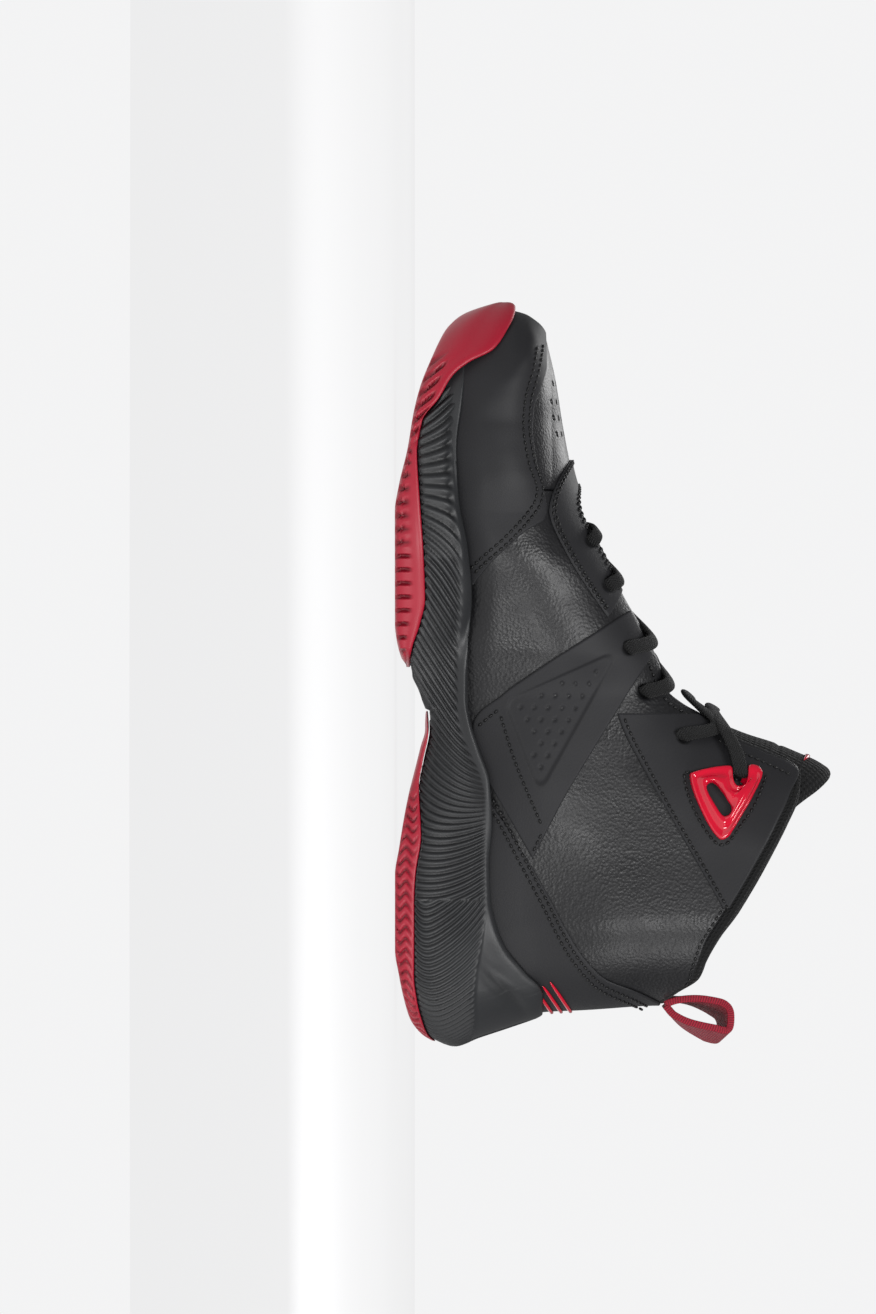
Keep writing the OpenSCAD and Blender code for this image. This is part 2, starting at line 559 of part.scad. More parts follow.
module heel_counter() {
  g = heel_grid(both_sides(HEEL_FAN), function(s) low_edge(s) + 2,
    function(s) 82 - 0.4 * max(s - 30, 0), 4);
  color(BOARD) graded() skin(g, -STIFF_OUT, -STIFF_IN);
}

module heel_overlay() {
  g = heel_grid(both_sides(concat(HEEL_FAN, [70, 80, 88])),
    function(s) low_edge(s) + 2, function(s) lookup(s, HEEL_SEAM), 5);
  color(BLACK) graded() skin(g, 0, -leather);
}

// Three piped lines across the heel, each fading out forward
module heel_stripes() {
  for (k = [0 : 2]) {
    g = [for (e = both_sides([0, 1.5, 4, 8, 12 - 2 * k]))
      [for (j = [0 : 1]) heel_point(e, 70.5 - 3.6 * k - 0.6 * abs(e) + 1.2 * j)]];
    color(BRIGHT_RED) graded() skin(g, 0.9, 0.45);
  }
}

module collar_foam() {
  g = heel_grid(both_sides(concat(HEEL_FAN, [70, 80])), function(s) 86,
    function(s) collar(s) - 3.5, 4);
  color(FOAM) graded() skin(g, -STIFF_OUT, -padding + 3 * seam_gap);
}

module collar_lining() {
  places = both_sides(concat(HEEL_FAN, [70, 80]));
  rows = 6;
  g = heel_grid(places, function(s) 75, function(s) collar(s) + 2.4, rows);
  color("#202124") graded() layer(moved(g, function(i, j) j == rows ? -padding + 2.2 : -padding - lining),
    moved(g, function(i, j) j == rows ? -padding + 3.6 : -padding));
}

// ---- Loop for the lace at the ankle ----

module ankle_loop(side) {
  n = len(LOOP_OUTLINE);
  function rim(depth, line) = [for (p = line)
    upper_point(p[0], p[1], side) + out_of(p[0], p[1], side) * depth];
  rings = [rim(0.9, LOOP_SLOT), rim(0.9, LOOP_MIDDLE), rim(0.9, LOOP_OUTLINE),
    rim(2.8, LOOP_OUTLINE), rim(2.8, LOOP_MIDDLE), rim(2.8, LOOP_SLOT)];
  function at(r, i) = (r % 6) * n + i % n;
  color(BRIGHT_RED) graded() polyhedron(
    points = joined(rings),
    faces = joined([for (r = [0 : 5]) for (i = [0 : n - 1])
      side > 0 ? cell(at(r, i), at(r, i + 1), at(r + 1, i + 1), at(r + 1, i))
        : cell(at(r, i), at(r + 1, i), at(r + 1, i + 1), at(r, i + 1))])
  );
}

module ankle_loop_medial() { ankle_loop(MEDIAL); }
module ankle_loop_lateral() { ankle_loop(LATERAL); }

// ---- Tongue ----

function tongue_dir(t) =
  unit(along(TONGUE_FRONT, min(t + 0.03, 1)) - along(TONGUE_FRONT, max(t - 0.03, 0)));

// A point of the tongue: t up its length, v from edge to edge, depth behind its front face
function tongue_point(t, v, depth) =
  let (
    c = along(TONGUE_FRONT, t),
    back = [tongue_dir(t)[1], -tongue_dir(t)[0]],
    x = v * lookup(t, TONGUE_HALF),
    sag = lookup(t, TONGUE_BEND) * pow(abs(v), 2.2) + depth,
    p = c - back * sag
  )
  [lookup(c[0], UPPER_MID) + x * (1 - depth / 60), p[0] - BASE_LENGTH / 2, p[1]];

function tongue_grid(t0, t1, width, depth, m, n) =
  [for (i = [0 : m]) let (t = mix(t0, t1, i / m)) [for (j = [-n : n])
    tongue_point(t, width * j / n, depth(t))]];

module tongue_layer(t0, t1, width, front, back, m, n) {
  layer(tongue_grid(t0, t1, width, back, m, n), tongue_grid(t0, t1, width, front, m, n));
}

module tongue_cover() {
  color(BLACK) graded() tongue_layer(0, 1, 1, function(t) 0, function(t) TONGUE_COVER, 12, 4);
}

module tongue_foam() {
  color(FOAM) graded() tongue_layer(0.05, 0.985, 0.94, function(t) TONGUE_COVER + 2 * seam_gap,
    function(t) TONGUE_COVER + lookup(t, TONGUE_THICK) - seam_gap, 12, 4);
}

module tongue_lining() {
  color(BRIGHT_RED) graded() tongue_layer(0.05, 1, 0.97, function(t) TONGUE_COVER + lookup(t, TONGUE_THICK),
    function(t) TONGUE_COVER + lookup(t, TONGUE_THICK) + lining, 12, 4);
}

module tongue_webbing() {
  color(BLACK) graded() tongue_layer(0.385, 0.45, 0.26, function(t) -1.1, function(t) -0.35, 2, 1);
}

// A short raised arc across the top of the tongue
module tongue_mark() {
  color(BRIGHT_RED) graded() tongue_layer(0.86, 0.875, 0.5, function(t) -0.8, function(t) -0.35, 1, 4);
}

// ---- Lace ----

// A point over a lace hole, above or below the face of the upper
function at_eyelet(i, side, height) = let (p = EYELETS[i])
  upper_point(p[0], p[1], side) + out_of(p[0], p[1], side) * height;

// Where each row crosses the tongue, as a fraction of its length
ROW_T = [0.08, 0.135, 0.25, 0.365, 0.54, 0.62];
UNDER = -6.3;
function over_tongue(i, v) =
  let (d = tongue_dir(ROW_T[i])) tongue_point(ROW_T[i], v, 0) + [0, d[1], -d[0]] * 2.4;
// Over the edge of the throat, between the lace hole and the middle of the tongue
function over_edge(i, side) =
  let (s = EYELETS[i][0] + 3, z = collar(s) - 0.6) upper_point(s, z, side) + out_of(s, z, side) * 2.2;

function row_points(i, side) = [
  at_eyelet(i, side, UNDER),
  at_eyelet(i, side, -2),
  at_eyelet(i, side, 2),
  over_edge(i, side),
  over_tongue(i, side * 0.4),
  over_tongue(i, 0),
  over_tongue(i, -side * 0.4),
  over_edge(i, -side),
  at_eyelet(i, -side, 2),
  at_eyelet(i, -side, -2),
  at_eyelet(i, -side, UNDER)
];

// Over the ankle flap, between the loop and the tongue
function over_flap(s, z, side, height) = upper_point(s, z, side) + out_of(s, z, side) * height;
// The top row leaves the notch of one ankle loop and goes into the other
ANKLE_ROW = [
  over_flap(118, 127, MEDIAL, UNDER),
  at_eyelet(5, MEDIAL, UNDER),
  at_eyelet(5, MEDIAL, -2),
  at_eyelet(5, MEDIAL, 2),
  over_flap(116, 136.8, MEDIAL, 2.7),
  over_flap(121.5, 134, MEDIAL, 3.4),
  over_flap(126.5, 131, MEDIAL, 3.4),
  over_tongue(5, -0.4),
  over_tongue(5, 0),
  over_tongue(5, 0.4),
  over_flap(126.5, 131, LATERAL, 3.4),
  over_flap(121.5, 134, LATERAL, 3.4),
  over_flap(116, 136.8, LATERAL, 2.7),
  at_eyelet(5, LATERAL, 2),
  at_eyelet(5, LATERAL, -2),
  at_eyelet(5, LATERAL, UNDER)
];

LACE_ROUTE = concat(joined([for (i = [0 : 4]) row_points(i, i % 2 == 0 ? LATERAL : MEDIAL)]), ANKLE_ROW);

// Flat band swept along a route
module band(route, half_width, half_thick) {
  m = len(route);
  sides = 8;
  function direction(i) = unit(route[min(i + 1, m - 1)] - route[max(i - 1, 0)]);
  rings = [for (i = [0 : m - 1])
    let (d = direction(i), u = unit([0, 1, -0.55] - d * ([0, 1, -0.55] * d)), w = cross(d, u))
    [for (k = [0 : sides - 1]) let (a = 360 * (k + 0.5) / sides)
      route[i] + u * half_width * cos(a) + w * half_thick * sin(a)]];
  polyhedron(
    points = joined(rings),
    faces = joined([
      [[for (k = [0 : sides - 1]) k]],
      joined([for (r = [0 : m - 2]) for (k = [0 : sides - 1])
        cell(r * sides + k, (r + 1) * sides + k, (r + 1) * sides + (k + 1) % sides,
          r * sides + (k + 1) % sides)]),
      [[for (k = [sides - 1 : -1 : 0]) (m - 1) * sides + k]]
    ])
  );
}

module lace() {
  color("#17181a") graded() band(LACE_ROUTE, lace_half_width, lace_half_thick);
}

// ---- Pull tab ----

module pull_tab() {
  n = len(TAB_OUTER);
  k = len(TAB_INNER);
  color(TAB_RED) graded() translate([-4 - tab_width / 2, -BASE_LENGTH / 2, 0])
    rotate([90, 0, 90])
      linear_extrude(tab_width)
        polygon(concat(TAB_OUTER, TAB_INNER), [[for (i = [0 : n - 1]) i], [for (i = [0 : k - 1]) n + i]]);
}

outsole_forefoot();
outsole_heel();
midsole();
shank();
strobel_board();
sockliner();
quarter_medial();
quarter_lateral();
quarter_lining();
vamp();
vamp_lining();
toe_puff();
mudguard();
throat_overlay();
eyestay_backing_medial();
eyestay_backing_lateral();
strap_medial();
strap_lateral();
ankle_panel_medial();
ankle_panel_lateral();
heel_counter();
heel_overlay();
heel_stripes();
collar_foam();
collar_lining();
ankle_loop_medial();
ankle_loop_lateral();
tongue_cover();
tongue_foam();
tongue_lining();
tongue_webbing();
tongue_mark();
lace();
pull_tab();
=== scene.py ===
"""Basketball high top, right shoe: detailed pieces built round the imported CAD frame.

Millimetres are used while shapes are made, and metres once a mesh is written. As in the CAD,
s is the distance along the shoe from the back of the heel, y = s - 150, and medial is -x.
"""

import math

import bmesh
import bpy
import numpy as np
from mathutils import Matrix


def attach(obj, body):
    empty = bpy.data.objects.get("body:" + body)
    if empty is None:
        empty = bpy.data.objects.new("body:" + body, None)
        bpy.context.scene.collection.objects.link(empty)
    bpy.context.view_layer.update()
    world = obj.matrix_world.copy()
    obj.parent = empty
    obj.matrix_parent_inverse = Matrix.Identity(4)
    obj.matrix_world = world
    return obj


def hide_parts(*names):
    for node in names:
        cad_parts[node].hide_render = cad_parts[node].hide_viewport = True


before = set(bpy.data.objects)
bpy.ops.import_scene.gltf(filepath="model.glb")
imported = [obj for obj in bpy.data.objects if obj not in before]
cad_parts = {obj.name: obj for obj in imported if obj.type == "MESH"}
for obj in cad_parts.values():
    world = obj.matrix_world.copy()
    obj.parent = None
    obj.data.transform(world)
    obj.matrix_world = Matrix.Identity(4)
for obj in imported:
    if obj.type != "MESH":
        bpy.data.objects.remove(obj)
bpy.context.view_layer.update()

MM = 0.001
MEDIAL, LATERAL = -1, 1
HALF_LENGTH = 150
ANKLE_HALF = 38
HEEL_ROUND = 39
TOE_ROUND = 95


# ---- Curves ----


def curve(points):
    """Smooth monotone line through given points, for arrays."""
    xs, ys = np.array(points, float).T
    h = np.diff(xs)
    d = np.diff(ys) / h
    m = np.zeros(len(xs))
    m[0], m[-1] = d[0], d[-1]
    for i in range(1, len(xs) - 1):
        if d[i - 1] * d[i] > 0:
            a, b = 2 * h[i] + h[i - 1], h[i] + 2 * h[i - 1]
            m[i] = (a + b) / (a / d[i - 1] + b / d[i])

    def value(x):
        x = np.clip(np.asarray(x, float), xs[0], xs[-1])
        i = np.clip(np.searchsorted(xs, x, side="right") - 1, 0, len(h) - 1)
        t = (x - xs[i]) / h[i]
        a = ys[i] * (1 + 2 * t) * (1 - t) ** 2 + ys[i + 1] * t * t * (3 - 2 * t)
        return a + h[i] * (m[i] * t * (1 - t) ** 2 - m[i + 1] * t * t * (1 - t))

    return value


def line(points, closed=False):
    """Smooth line through points of any dimension, for fractions 0 to 1 by point number."""
    p = np.array(points, float)
    n = len(p)

    def value(t):
        t = np.asarray(t, float)
        spans = n if closed else n - 1
        u = t * spans
        i = np.clip(np.floor(u).astype(int), 0, spans - 1)
        f = (u - i)[..., None]
        if closed:
            a, b, c, d = (p[(i + k) % n] for k in (-1, 0, 1, 2))
        else:
            b, c = p[i], p[i + 1]
            a = np.where((i > 0)[..., None], p[np.maximum(i - 1, 0)], 2 * b - c)
            d = np.where((i < n - 2)[..., None], p[np.minimum(i + 2, n - 1)], 2 * c - b)
        return b + 0.5 * f * (c - a + f * (2 * a - 5 * b + 4 * c - d + f * (3 * (b - c) + d - a)))

    return value


def lengths(p):
    """Length from the first point of a row of points to each of them."""
    return np.concatenate([[0], np.cumsum(np.linalg.norm(np.diff(p, axis=0), axis=1))])


def at_length(want, run, p):
    """Points at wanted lengths, where run is the length at each point of p."""
    return np.stack([np.interp(want, run, p[:, k]) for k in range(p.shape[1])], -1)


def by_length(value, n):
    """n points evenly spaced by length along a line."""
    p = value(np.linspace(0, 1, 1200))
    run = lengths(p)
    return at_length(np.linspace(0, run[-1], n), run, p)


def ramp(x, a, b):
    return np.clip((x - a) / (b - a), 0, 1)


def soft(x, a, b):
    t = ramp(x, a, b)
    return t * t * (3 - 2 * t)


def mix(a, b, t):
    return a + (b - a) * t


def arch(u, p):
    """Rounded rise from 0 to 1; p = 2 is a quarter of a circle."""
    return (1 - (1 - np.clip(u, 0, 1)) ** p) ** (1 / p)


# Sole, each point is [s, value]
SOLE_HALF = curve([
    [0, 42.5], [30, 42.5], [50, 44], [80, 43.7], [100, 42.2], [120, 42.4], [140, 44.6], [160, 49],
    [180, 54], [200, 55.7], [220, 54.3], [240, 52.3], [260, 51.4], [300, 50.8]])
SOLE_MID = curve([
    [0, -5.5], [50, -4.3], [80, -1.8], [100, 1.2], [120, 2.8], [140, 3.4], [160, 3.6], [180, 2.2],
    [200, -0.6], [220, -2.8], [250, -4.2], [280, -4.5], [300, -3.5]])
TREAD_HEEL = curve([
    [0, 15], [5, 10], [10, 6.5], [20, 3.5], [30, 1.5], [40, 0], [70, 0], [80, 1.5], [100, 5], [110, 7.5],
    [120, 10], [128, 12], [136, 11.5]])
TREAD_FORE = curve([
    [153, 4], [158, 2], [165, 0.5], [170, 0], [215, 0], [225, 1.5], [240, 5], [255, 7.5], [265, 10],
    [280, 16], [290, 21], [295, 26], [298, 31], [300, 37], [301, 40]])
RIM_HEEL = curve([
    [0, 18], [5, 13], [10, 11], [20, 8.5], [30, 7.3], [60, 7.3], [70, 7.8], [86, 10], [105, 9.4],
    [115, 11], [128, 13.4], [136, 13]])
RIM_FORE = curve([
    [153, 5.6], [160, 6.5], [170, 9.5], [180, 11.5], [200, 10.8], [220, 9.5], [240, 8.6], [252, 11],
    [260, 17], [270, 23], [275, 29], [280, 38], [287, 43], [297, 47.5], [301, 48]])
ARCH_LINE = curve([[128, 13.4], [138, 11], [145, 8.5], [150, 6.5], [155, 6]])
FEATHER = curve([
    [0, 30], [5, 42], [8, 50], [13, 57], [22, 57], [30, 51], [40, 43.5], [50, 39.5], [60, 37.5], [75, 37],
    [90, 38], [107, 37], [120, 33], [130, 30], [140, 28.5], [160, 28.5], [180, 30], [200, 28.5],
    [220, 25], [240, 24], [260, 26.5], [270, 27.5], [300, 28]])
BED = curve([
    [0, 23], [60, 22], [100, 20], [150, 16], [200, 12], [235, 12], [250, 13.5], [260, 16], [270, 19.5],
    [280, 22.5], [290, 26], [300, 28]])
INSET_FOOT = curve([[0, 4], [90, 4], [112, 8], [148, 8], [170, 4], [300, 4]])
INSET_TOP = curve([[0, 6], [80, 6], [105, 1], [150, 1], [172, 6.6], [250, 6.6], [280, 4], [300, 4]])
RUBBER = 4

# Upper
CREST = curve([
    [106, 190], [114, 175], [121, 161], [128, 147], [134, 134], [140, 124], [148, 116.5], [160, 110],
    [180, 99], [200, 88.5], [212, 81], [220, 76.8], [230, 73.2], [250, 69], [270, 65.7], [285, 62.3],
    [300, 59]])
HEEL_LINE = curve([[20, 3], [30, 5], [40, 8], [50, 11], [58, 13], [75, 14], [107, 15.8], [180, 16]])
TOE_LINE = curve([
    [20, 291], [28, 294], [40, 296.5], [47, 297], [52, 296], [57, 293], [60, 290], [62.3, 285],
    [64, 280]])
UPPER_HALF = curve([
    [0, 33.5], [45, 33.5], [80, 35.5], [100, 36.5], [140, 38], [160, 45], [180, 48], [200, 51],
    [220, 50.5], [300, 50.5]])
UPPER_MID = curve([
    [0, -4], [45, -4], [80, -0.5], [100, 1.5], [120, 2.8], [180, 3], [200, 1.8], [220, 0.3], [250, -2.3],
    [270, -4.3], [300, -4.5]])
TUCK = curve([[0, 0.5], [60, 0.5], [100, 1], [150, 1.5], [175, 3.5], [250, 3.5], [280, 1.2], [300, 1]])
CREST_ROUND = curve([[215, 46], [232, 38], [250, 38], [262, 30], [270, 21], [278, 12], [285, 8]])
COLLAR = curve([
    [15, 107], [19, 112], [25, 120], [30, 121.5], [40, 126], [50, 132], [70, 144], [90, 155],
    [104, 161.5], [111, 163], [114, 160], [118, 151], [122, 141], [126, 132], [132, 126], [137, 117],
    [142, 111], [150, 108.5], [160, 104.5], [180, 93.5], [200, 83.5], [212, 77.5], [222, 73]])
ANKLE_SEAM = curve([[53, 133], [70, 123.5], [90, 112], [110, 101], [130, 91], [136, 89]])
HEEL_SEAM = curve([
    [15, 107], [20, 98], [27, 84], [32, 79], [40, 73], [60, 62.5], [76, 54], [95, 44], [107, 37]])
MUDGUARD_SEAM = curve([
    [186, 30], [193, 37], [200, 45], [207, 52], [213, 57], [218, 60], [224, 61], [236, 57.5], [250, 55.5],
    [258, 56], [272, 59.5], [283, 61.2], [300, 61.2]])
STRAP_UPPER = [[76, 55], [100, 67.5], [120, 79.5], [140, 92], [158, 104]]
STRAP_LOWER = [[106, 38], [130, 31], [142, 43], [149, 53], [161, 71], [171, 87], [176, 95]]
THROAT_INNER = [[184, 27], [200, 26], [213, 24], [221, 16], [225, 0]]
THROAT_OUTER = [[173, 51], [198, 56], [218, 49], [231, 30], [237, 0]]
EYELETS = [[204, 79], [186, 86], [160.5, 94], [143, 101], [125, 116], [110, 138.2]]
TONGUE_FRONT = line([
    [222, 67.5], [205, 76], [185, 86.5], [165, 97.5], [150, 105.5], [140, 112.5], [133, 124], [127, 139],
    [121.5, 155.5], [116, 169], [110.5, 177.5]])
TONGUE_HALF = curve([[0, 15], [0.2, 19], [0.5, 22], [0.8, 25], [1, 25]])
TONGUE_BEND = curve([[0, 3], [0.5, 6], [0.75, 13], [1, 22]])
TONGUE_THICK = curve([[0, 2.4], [0.25, 4.2], [0.7, 5.5], [1, 4.2]])
LOOP_OUTLINE = [
    [83.8, 131], [85, 133.5], [88, 135.6], [92.8, 138.5], [98, 141.7], [103, 144.4], [107, 146.4],
    [109.8, 147], [112, 145.5], [112.8, 143], [112, 141.3], [108, 141], [105.2, 140], [104.4, 138.1],
    [105.2, 136.2], [108, 135.2], [111.8, 134.8], [112.5, 132.5], [111.8, 126], [110.2, 119],
    [108.6, 117.9], [103, 119.2], [95.4, 122.4], [88.7, 126], [84.7, 129.1]]
LOOP_MIDDLE = [
    [88.4, 131.3], [89, 133], [91, 134.8], [94, 136.7], [97.5, 138.8], [101.5, 141.2], [104, 142.8],
    [106, 143.7], [107, 143.6], [107.3, 143], [106.5, 142.2], [104.8, 141.6], [103, 139.8],
    [102.3, 137.5], [103, 135], [104.8, 133.8], [107, 133.4], [108.5, 132.3], [108.8, 127], [108, 122],
    [107, 121], [103.5, 122], [98.5, 124], [93, 127], [89.5, 129.5]]
LOOP_SLOT = [
    [93, 131.5], [93.1, 132.8], [93.8, 133.9], [94.6, 134.4], [95.4, 134.6], [96.2, 134.6], [96.8, 134.5],
    [97.2, 134.4], [97.6, 134.2], [98, 134], [98.4, 133.7], [98.9, 133.3], [99.8, 132.7], [101, 132],
    [102, 131.3], [102.8, 130.7], [103.6, 130.1], [104.8, 129.2], [106.1, 127.6], [106.2, 126.2],
    [105.4, 125.1], [104, 124.7], [101.5, 125.6], [97.5, 128], [94.3, 130.1]]
TAB_OUTER = [
    [15.6, 108.4], [12, 111.5], [8, 117], [5, 124], [3, 130.5], [3.6, 133.2], [6.5, 134.4], [12, 134.2],
    [15.4, 131.5], [18, 125], [19.2, 119], [19.2, 113], [18, 108.4]]

CREST_S = np.concatenate([np.linspace(106, 150, 90), np.linspace(151, 300, 100)])
CREST_PTS = np.stack([CREST_S, CREST(CREST_S)], 1)


def crest_gap(s, z):
    """Distance down from the crest, 0 above it."""
    s, z = np.broadcast_arrays(np.asarray(s, float), np.asarray(z, float))
    flat = np.stack([s.ravel(), z.ravel()], 1)
    a, d = CREST_PTS[:-1], np.diff(CREST_PTS, axis=0)
    best = np.empty(len(flat))
    for k in range(0, len(flat), 4000):
        rel = flat[k:k + 4000, None, :] - a
        t = np.clip((rel * d).sum(2) / (d * d).sum(1), 0, 1)
        best[k:k + 4000] = np.sqrt((((rel - t[..., None] * d)) ** 2).sum(2).min(1))
    return np.where(z > CREST(s), 0, best.reshape(s.shape))


def upper_half(s, z):
    """Half width of the upper at a station and a height."""
    ankle = ANKLE_HALF + 2 * soft(z, 115, 155)
    rise = soft(z, 50, 90) * (1 - soft(s, 120, 160))
    swell = 5 * np.exp(-((z - 60) / 22) ** 2) * np.exp(-((s - 112) / 34) ** 2)
    tuck = TUCK(s) * ramp(FEATHER(s) + 12 - z, 0, 12) ** 2
    width = mix(UPPER_HALF(s), ankle, rise) + swell - tuck
    ends = width * arch((s - HEEL_LINE(z)) / HEEL_ROUND, 2.1) * arch((TOE_LINE(z) - s) / TOE_ROUND, 2.2)
    return ends * arch(crest_gap(s, z) / CREST_ROUND(s), 2)


def upper_point(s, z, side):
    """Outer face of the upper."""
    s, z, side = np.broadcast_arrays(np.asarray(s, float), np.asarray(z, float), side)
    return np.stack([UPPER_MID(s) + side * upper_half(s, z), s - HALF_LENGTH, z], -1)


def unit(v):
    return v / np.maximum(np.linalg.norm(v, axis=-1, keepdims=True), 1e-9)


def out_of(s, z, side, d=0.6):
    """Direction out of the upper."""
    a = upper_point(np.add(s, d), z, side) - upper_point(np.subtract(s, d), z, side)
    b = upper_point(s, np.add(z, d), side) - upper_point(s, np.subtract(z, d), side)
    return unit(np.cross(a, b)) * np.asarray(side, float)[..., None]


def on_upper(s, z, side, height=0.0):
    return upper_point(s, z, side) + out_of(s, z, side) * np.asarray(height, float)[..., None]


def heel_point(e, z):
    """Point of the upper at e mm forward of its back, medial for a negative e."""
    return upper_point(HEEL_LINE(z) + np.abs(e), z, np.where(e < 0, MEDIAL, LATERAL))


def toe_point(g, z):
    """Point of the upper at g mm back from its toe, medial for a negative g."""
    return upper_point(TOE_LINE(z) - np.abs(g), z, np.where(g < 0, MEDIAL, LATERAL))


def crest_point(s, angle):
    """Point of the rounded top of the upper, angle degrees from its crest."""
    z = CREST(s) - CREST_ROUND(s) * (1 - np.cos(np.radians(angle)))
    return upper_point(s, z, np.where(angle < 0, MEDIAL, LATERAL))


# ---- Meshes ----


def make(name, verts, faces, mat, uv=None, shade=None):
    """Mesh object from points in millimetres."""
    me = bpy.data.meshes.new(name)
    me.from_pydata((np.asarray(verts) * MM).tolist(), [], faces)
    if uv is not None:
        layer = me.uv_layers.new(name="cloth")
        index = np.zeros(len(me.loops), int)
        me.loops.foreach_get("vertex_index", index)
        layer.data.foreach_set("uv", (np.asarray(uv) * MM)[index].ravel())
    if shade is not None:
        a = me.attributes.new("shade", "FLOAT", "POINT")
        a.data.foreach_set("value", np.asarray(shade, np.float32))
    me.materials.append(mat)
    me.polygons.foreach_set("use_smooth", [True] * len(me.polygons))
    me.validate()
    me.update()
    ob = bpy.data.objects.new(name, me)
    bpy.context.scene.collection.objects.link(ob)
    return ob


def fix_normals(ob, join=None):
    """Turns all faces outward, after joining points closer than join in metres."""
    bm = bmesh.new()
    bm.from_mesh(ob.data)
    if join:
        bmesh.ops.remove_doubles(bm, verts=bm.verts, dist=join)
    bmesh.ops.recalc_face_normals(bm, faces=bm.faces)
    bm.to_mesh(ob.data)
    bm.free()
    ob.data.update()


def place(ob, body, nodes):
    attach(ob, body)
    if nodes:
        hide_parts(*nodes)
    return ob


def side_name(side):
    return "medial" if side == MEDIAL else "lateral"


def wide(column, n):
    """A column of values repeated over n columns."""
    return column[:, None] * np.ones((1, n))


def quads(m, n, start=0, close_i=False, close_j=False):
    """Faces of a grid of m by n points, closed to a loop where asked."""
    rows, columns = (m if close_i else m - 1), (n if close_j else n - 1)
    i, j = np.meshgrid(np.arange(rows), np.arange(columns), indexing="ij")
    a = start + i * n + j
    b = start + ((i + 1) % m) * n + j
    c = start + ((i + 1) % m) * n + (j + 1) % n
    d = start + i * n + (j + 1) % n
    return np.stack([a, b, c, d], -1).reshape(-1, 4)


def tangents(p):
    """Step between the neighbours of each row."""
    d = np.empty_like(p)
    d[1:-1] = p[2:] - p[:-2]
    d[0], d[-1] = p[1] - p[0], p[-1] - p[-2]
    return d


def grid_normals(p):
    return unit(np.cross(tangents(p), tangents(p.swapaxes(0, 1)).swapaxes(0, 1)))


def grid_runs(p):
    """Length along a grid in its first and its second direction."""
    i = np.cumsum(np.linalg.norm(np.diff(p, axis=0), axis=2), 0)
    j = np.cumsum(np.linalg.norm(np.diff(p, axis=1), axis=2), 1)
    return np.concatenate([np.zeros((1, p.shape[1])), i]), np.concatenate([np.zeros((p.shape[0], 1)), j], 1)


def shell_faces(m, k, turn_edges):
    """Faces of an outer and an inner grid of m by k points, and of the four edges between them."""
    total = m * k
    i, j = np.arange(m - 1), np.arange(k - 1)
    e, g = k - 1, (m - 1) * k
    edges = np.concatenate([
        np.stack([i * k, total + i * k, total + (i + 1) * k, (i + 1) * k], 1),
        np.stack([i * k + e, (i + 1) * k + e, total + (i + 1) * k + e, total + i * k + e], 1),
        np.stack([j, j + 1, total + j + 1, total + j], 1),
        np.stack([g + j, total + g + j, total + g + j + 1, g + j + 1], 1)])
    if turn_edges:
        edges = edges[:, ::-1]
    return np.concatenate([quads(m, k), quads(m, k, total)[:, ::-1], edges]).tolist()


def shell(name, outer, inner, mat, run_i, run_j, tint, turn_edges):
    """Closed layer between two grids, with its lengths as cloth coordinates."""
    m, k = outer.shape[:2]
    uv = np.stack([wide(run_i.mean(1), k), run_j], -1).reshape(-1, 2)
    verts = np.concatenate([outer.reshape(-1, 3), inner.reshape(-1, 3)])
    return make(name, verts, shell_faces(m, k, turn_edges), mat, uv=np.concatenate([uv, uv]),
                shade=np.concatenate([tint, tint]))


def edge_drop(near, radius):
    """How far a rounded edge has dropped at a distance from it, as a share of the radius."""
    return 1 - np.sqrt(np.clip(1 - (1 - np.clip(near / radius, 0, 1)) ** 2, 0, 1))


def caps(n, around, base=0):
    """End faces of a tube of n rings."""
    last = base + (n - 1) * around
    return [[base + i for i in range(around)][::-1], [last + i for i in range(around)]]


def spaced(n, length, edge=(0, 0.15, 0.4, 0.8, 1.3)):
    """Fractions from 0 to 1, with extra ones close to both ends for a rounded edge."""
    e = np.array(edge) / length
    return np.concatenate([e, np.linspace(e[-1], 1 - e[-1], n)[1:-1], 1 - e[::-1]])


def sheet(name, p, top, mat, nodes, lift=None, shade=None):
    """Closed sheet of leather with rounded edges over a grid of points of the outer face.

    top is the height of its outer face, and lift is extra height over the grid."""
    n = grid_normals(p)
    centre = np.array([0, p.mean((0, 1))[1], 55])
    if (n * (p - centre)).sum() < 0:
        p = p[::-1]
        n = -n[::-1]
        lift = None if lift is None else lift[::-1]
        shade = None if shade is None else shade[::-1]
    run_i, run_j = grid_runs(p)
    near = np.minimum(np.minimum(run_i, run_i[-1] - run_i), np.minimum(run_j, run_j[:, -1:] - run_j))
    drop = SHEET_EDGE * edge_drop(near, SHEET_EDGE)
    high = top - drop * 0.85 + (0 if lift is None else lift * soft(near, 0, 1.5))
    tint = np.ones(near.size) if shade is None else shade.ravel()
    ob = shell(name, p + n * high[..., None], p + n * (top - LEATHER), mat, run_i, run_j, tint, True)
    return place(ob, "shoe", nodes)


def layer_piece(name, outer, inner, mat, body, nodes, slot, padded=False):
    """Closed layer between two grids of the same size."""
    run_i, run_j = grid_runs(outer)
    ob = shell(name, outer, inner, mat, run_i, run_j, np.ones(run_i.size), False)
    fix_normals(ob)
    place(ob, body, nodes)
    return ob


def noise(p, size, seed):
    """Soft seeded waves, about -1 to 1, for gentle unevenness of leather."""
    rng = np.random.default_rng(seed)
    out = 0
    for k in range(7):
        d = unit(rng.normal(size=3)) / size * rng.uniform(0.6, 1.7)
        out = out + np.sin((p * d).sum(-1) * 2 * np.pi + rng.uniform(0, 6.3))
    return out / 3.2


def dents(s, z, places, radius):
    """0 to 1 depth of round holes at places."""
    out = np.zeros(s.shape)
    for a, b in places:
        r = np.hypot(s - a, z - b) / radius
        out = np.maximum(out, 1 - soft(r, 0.55, 1.05))
    return out


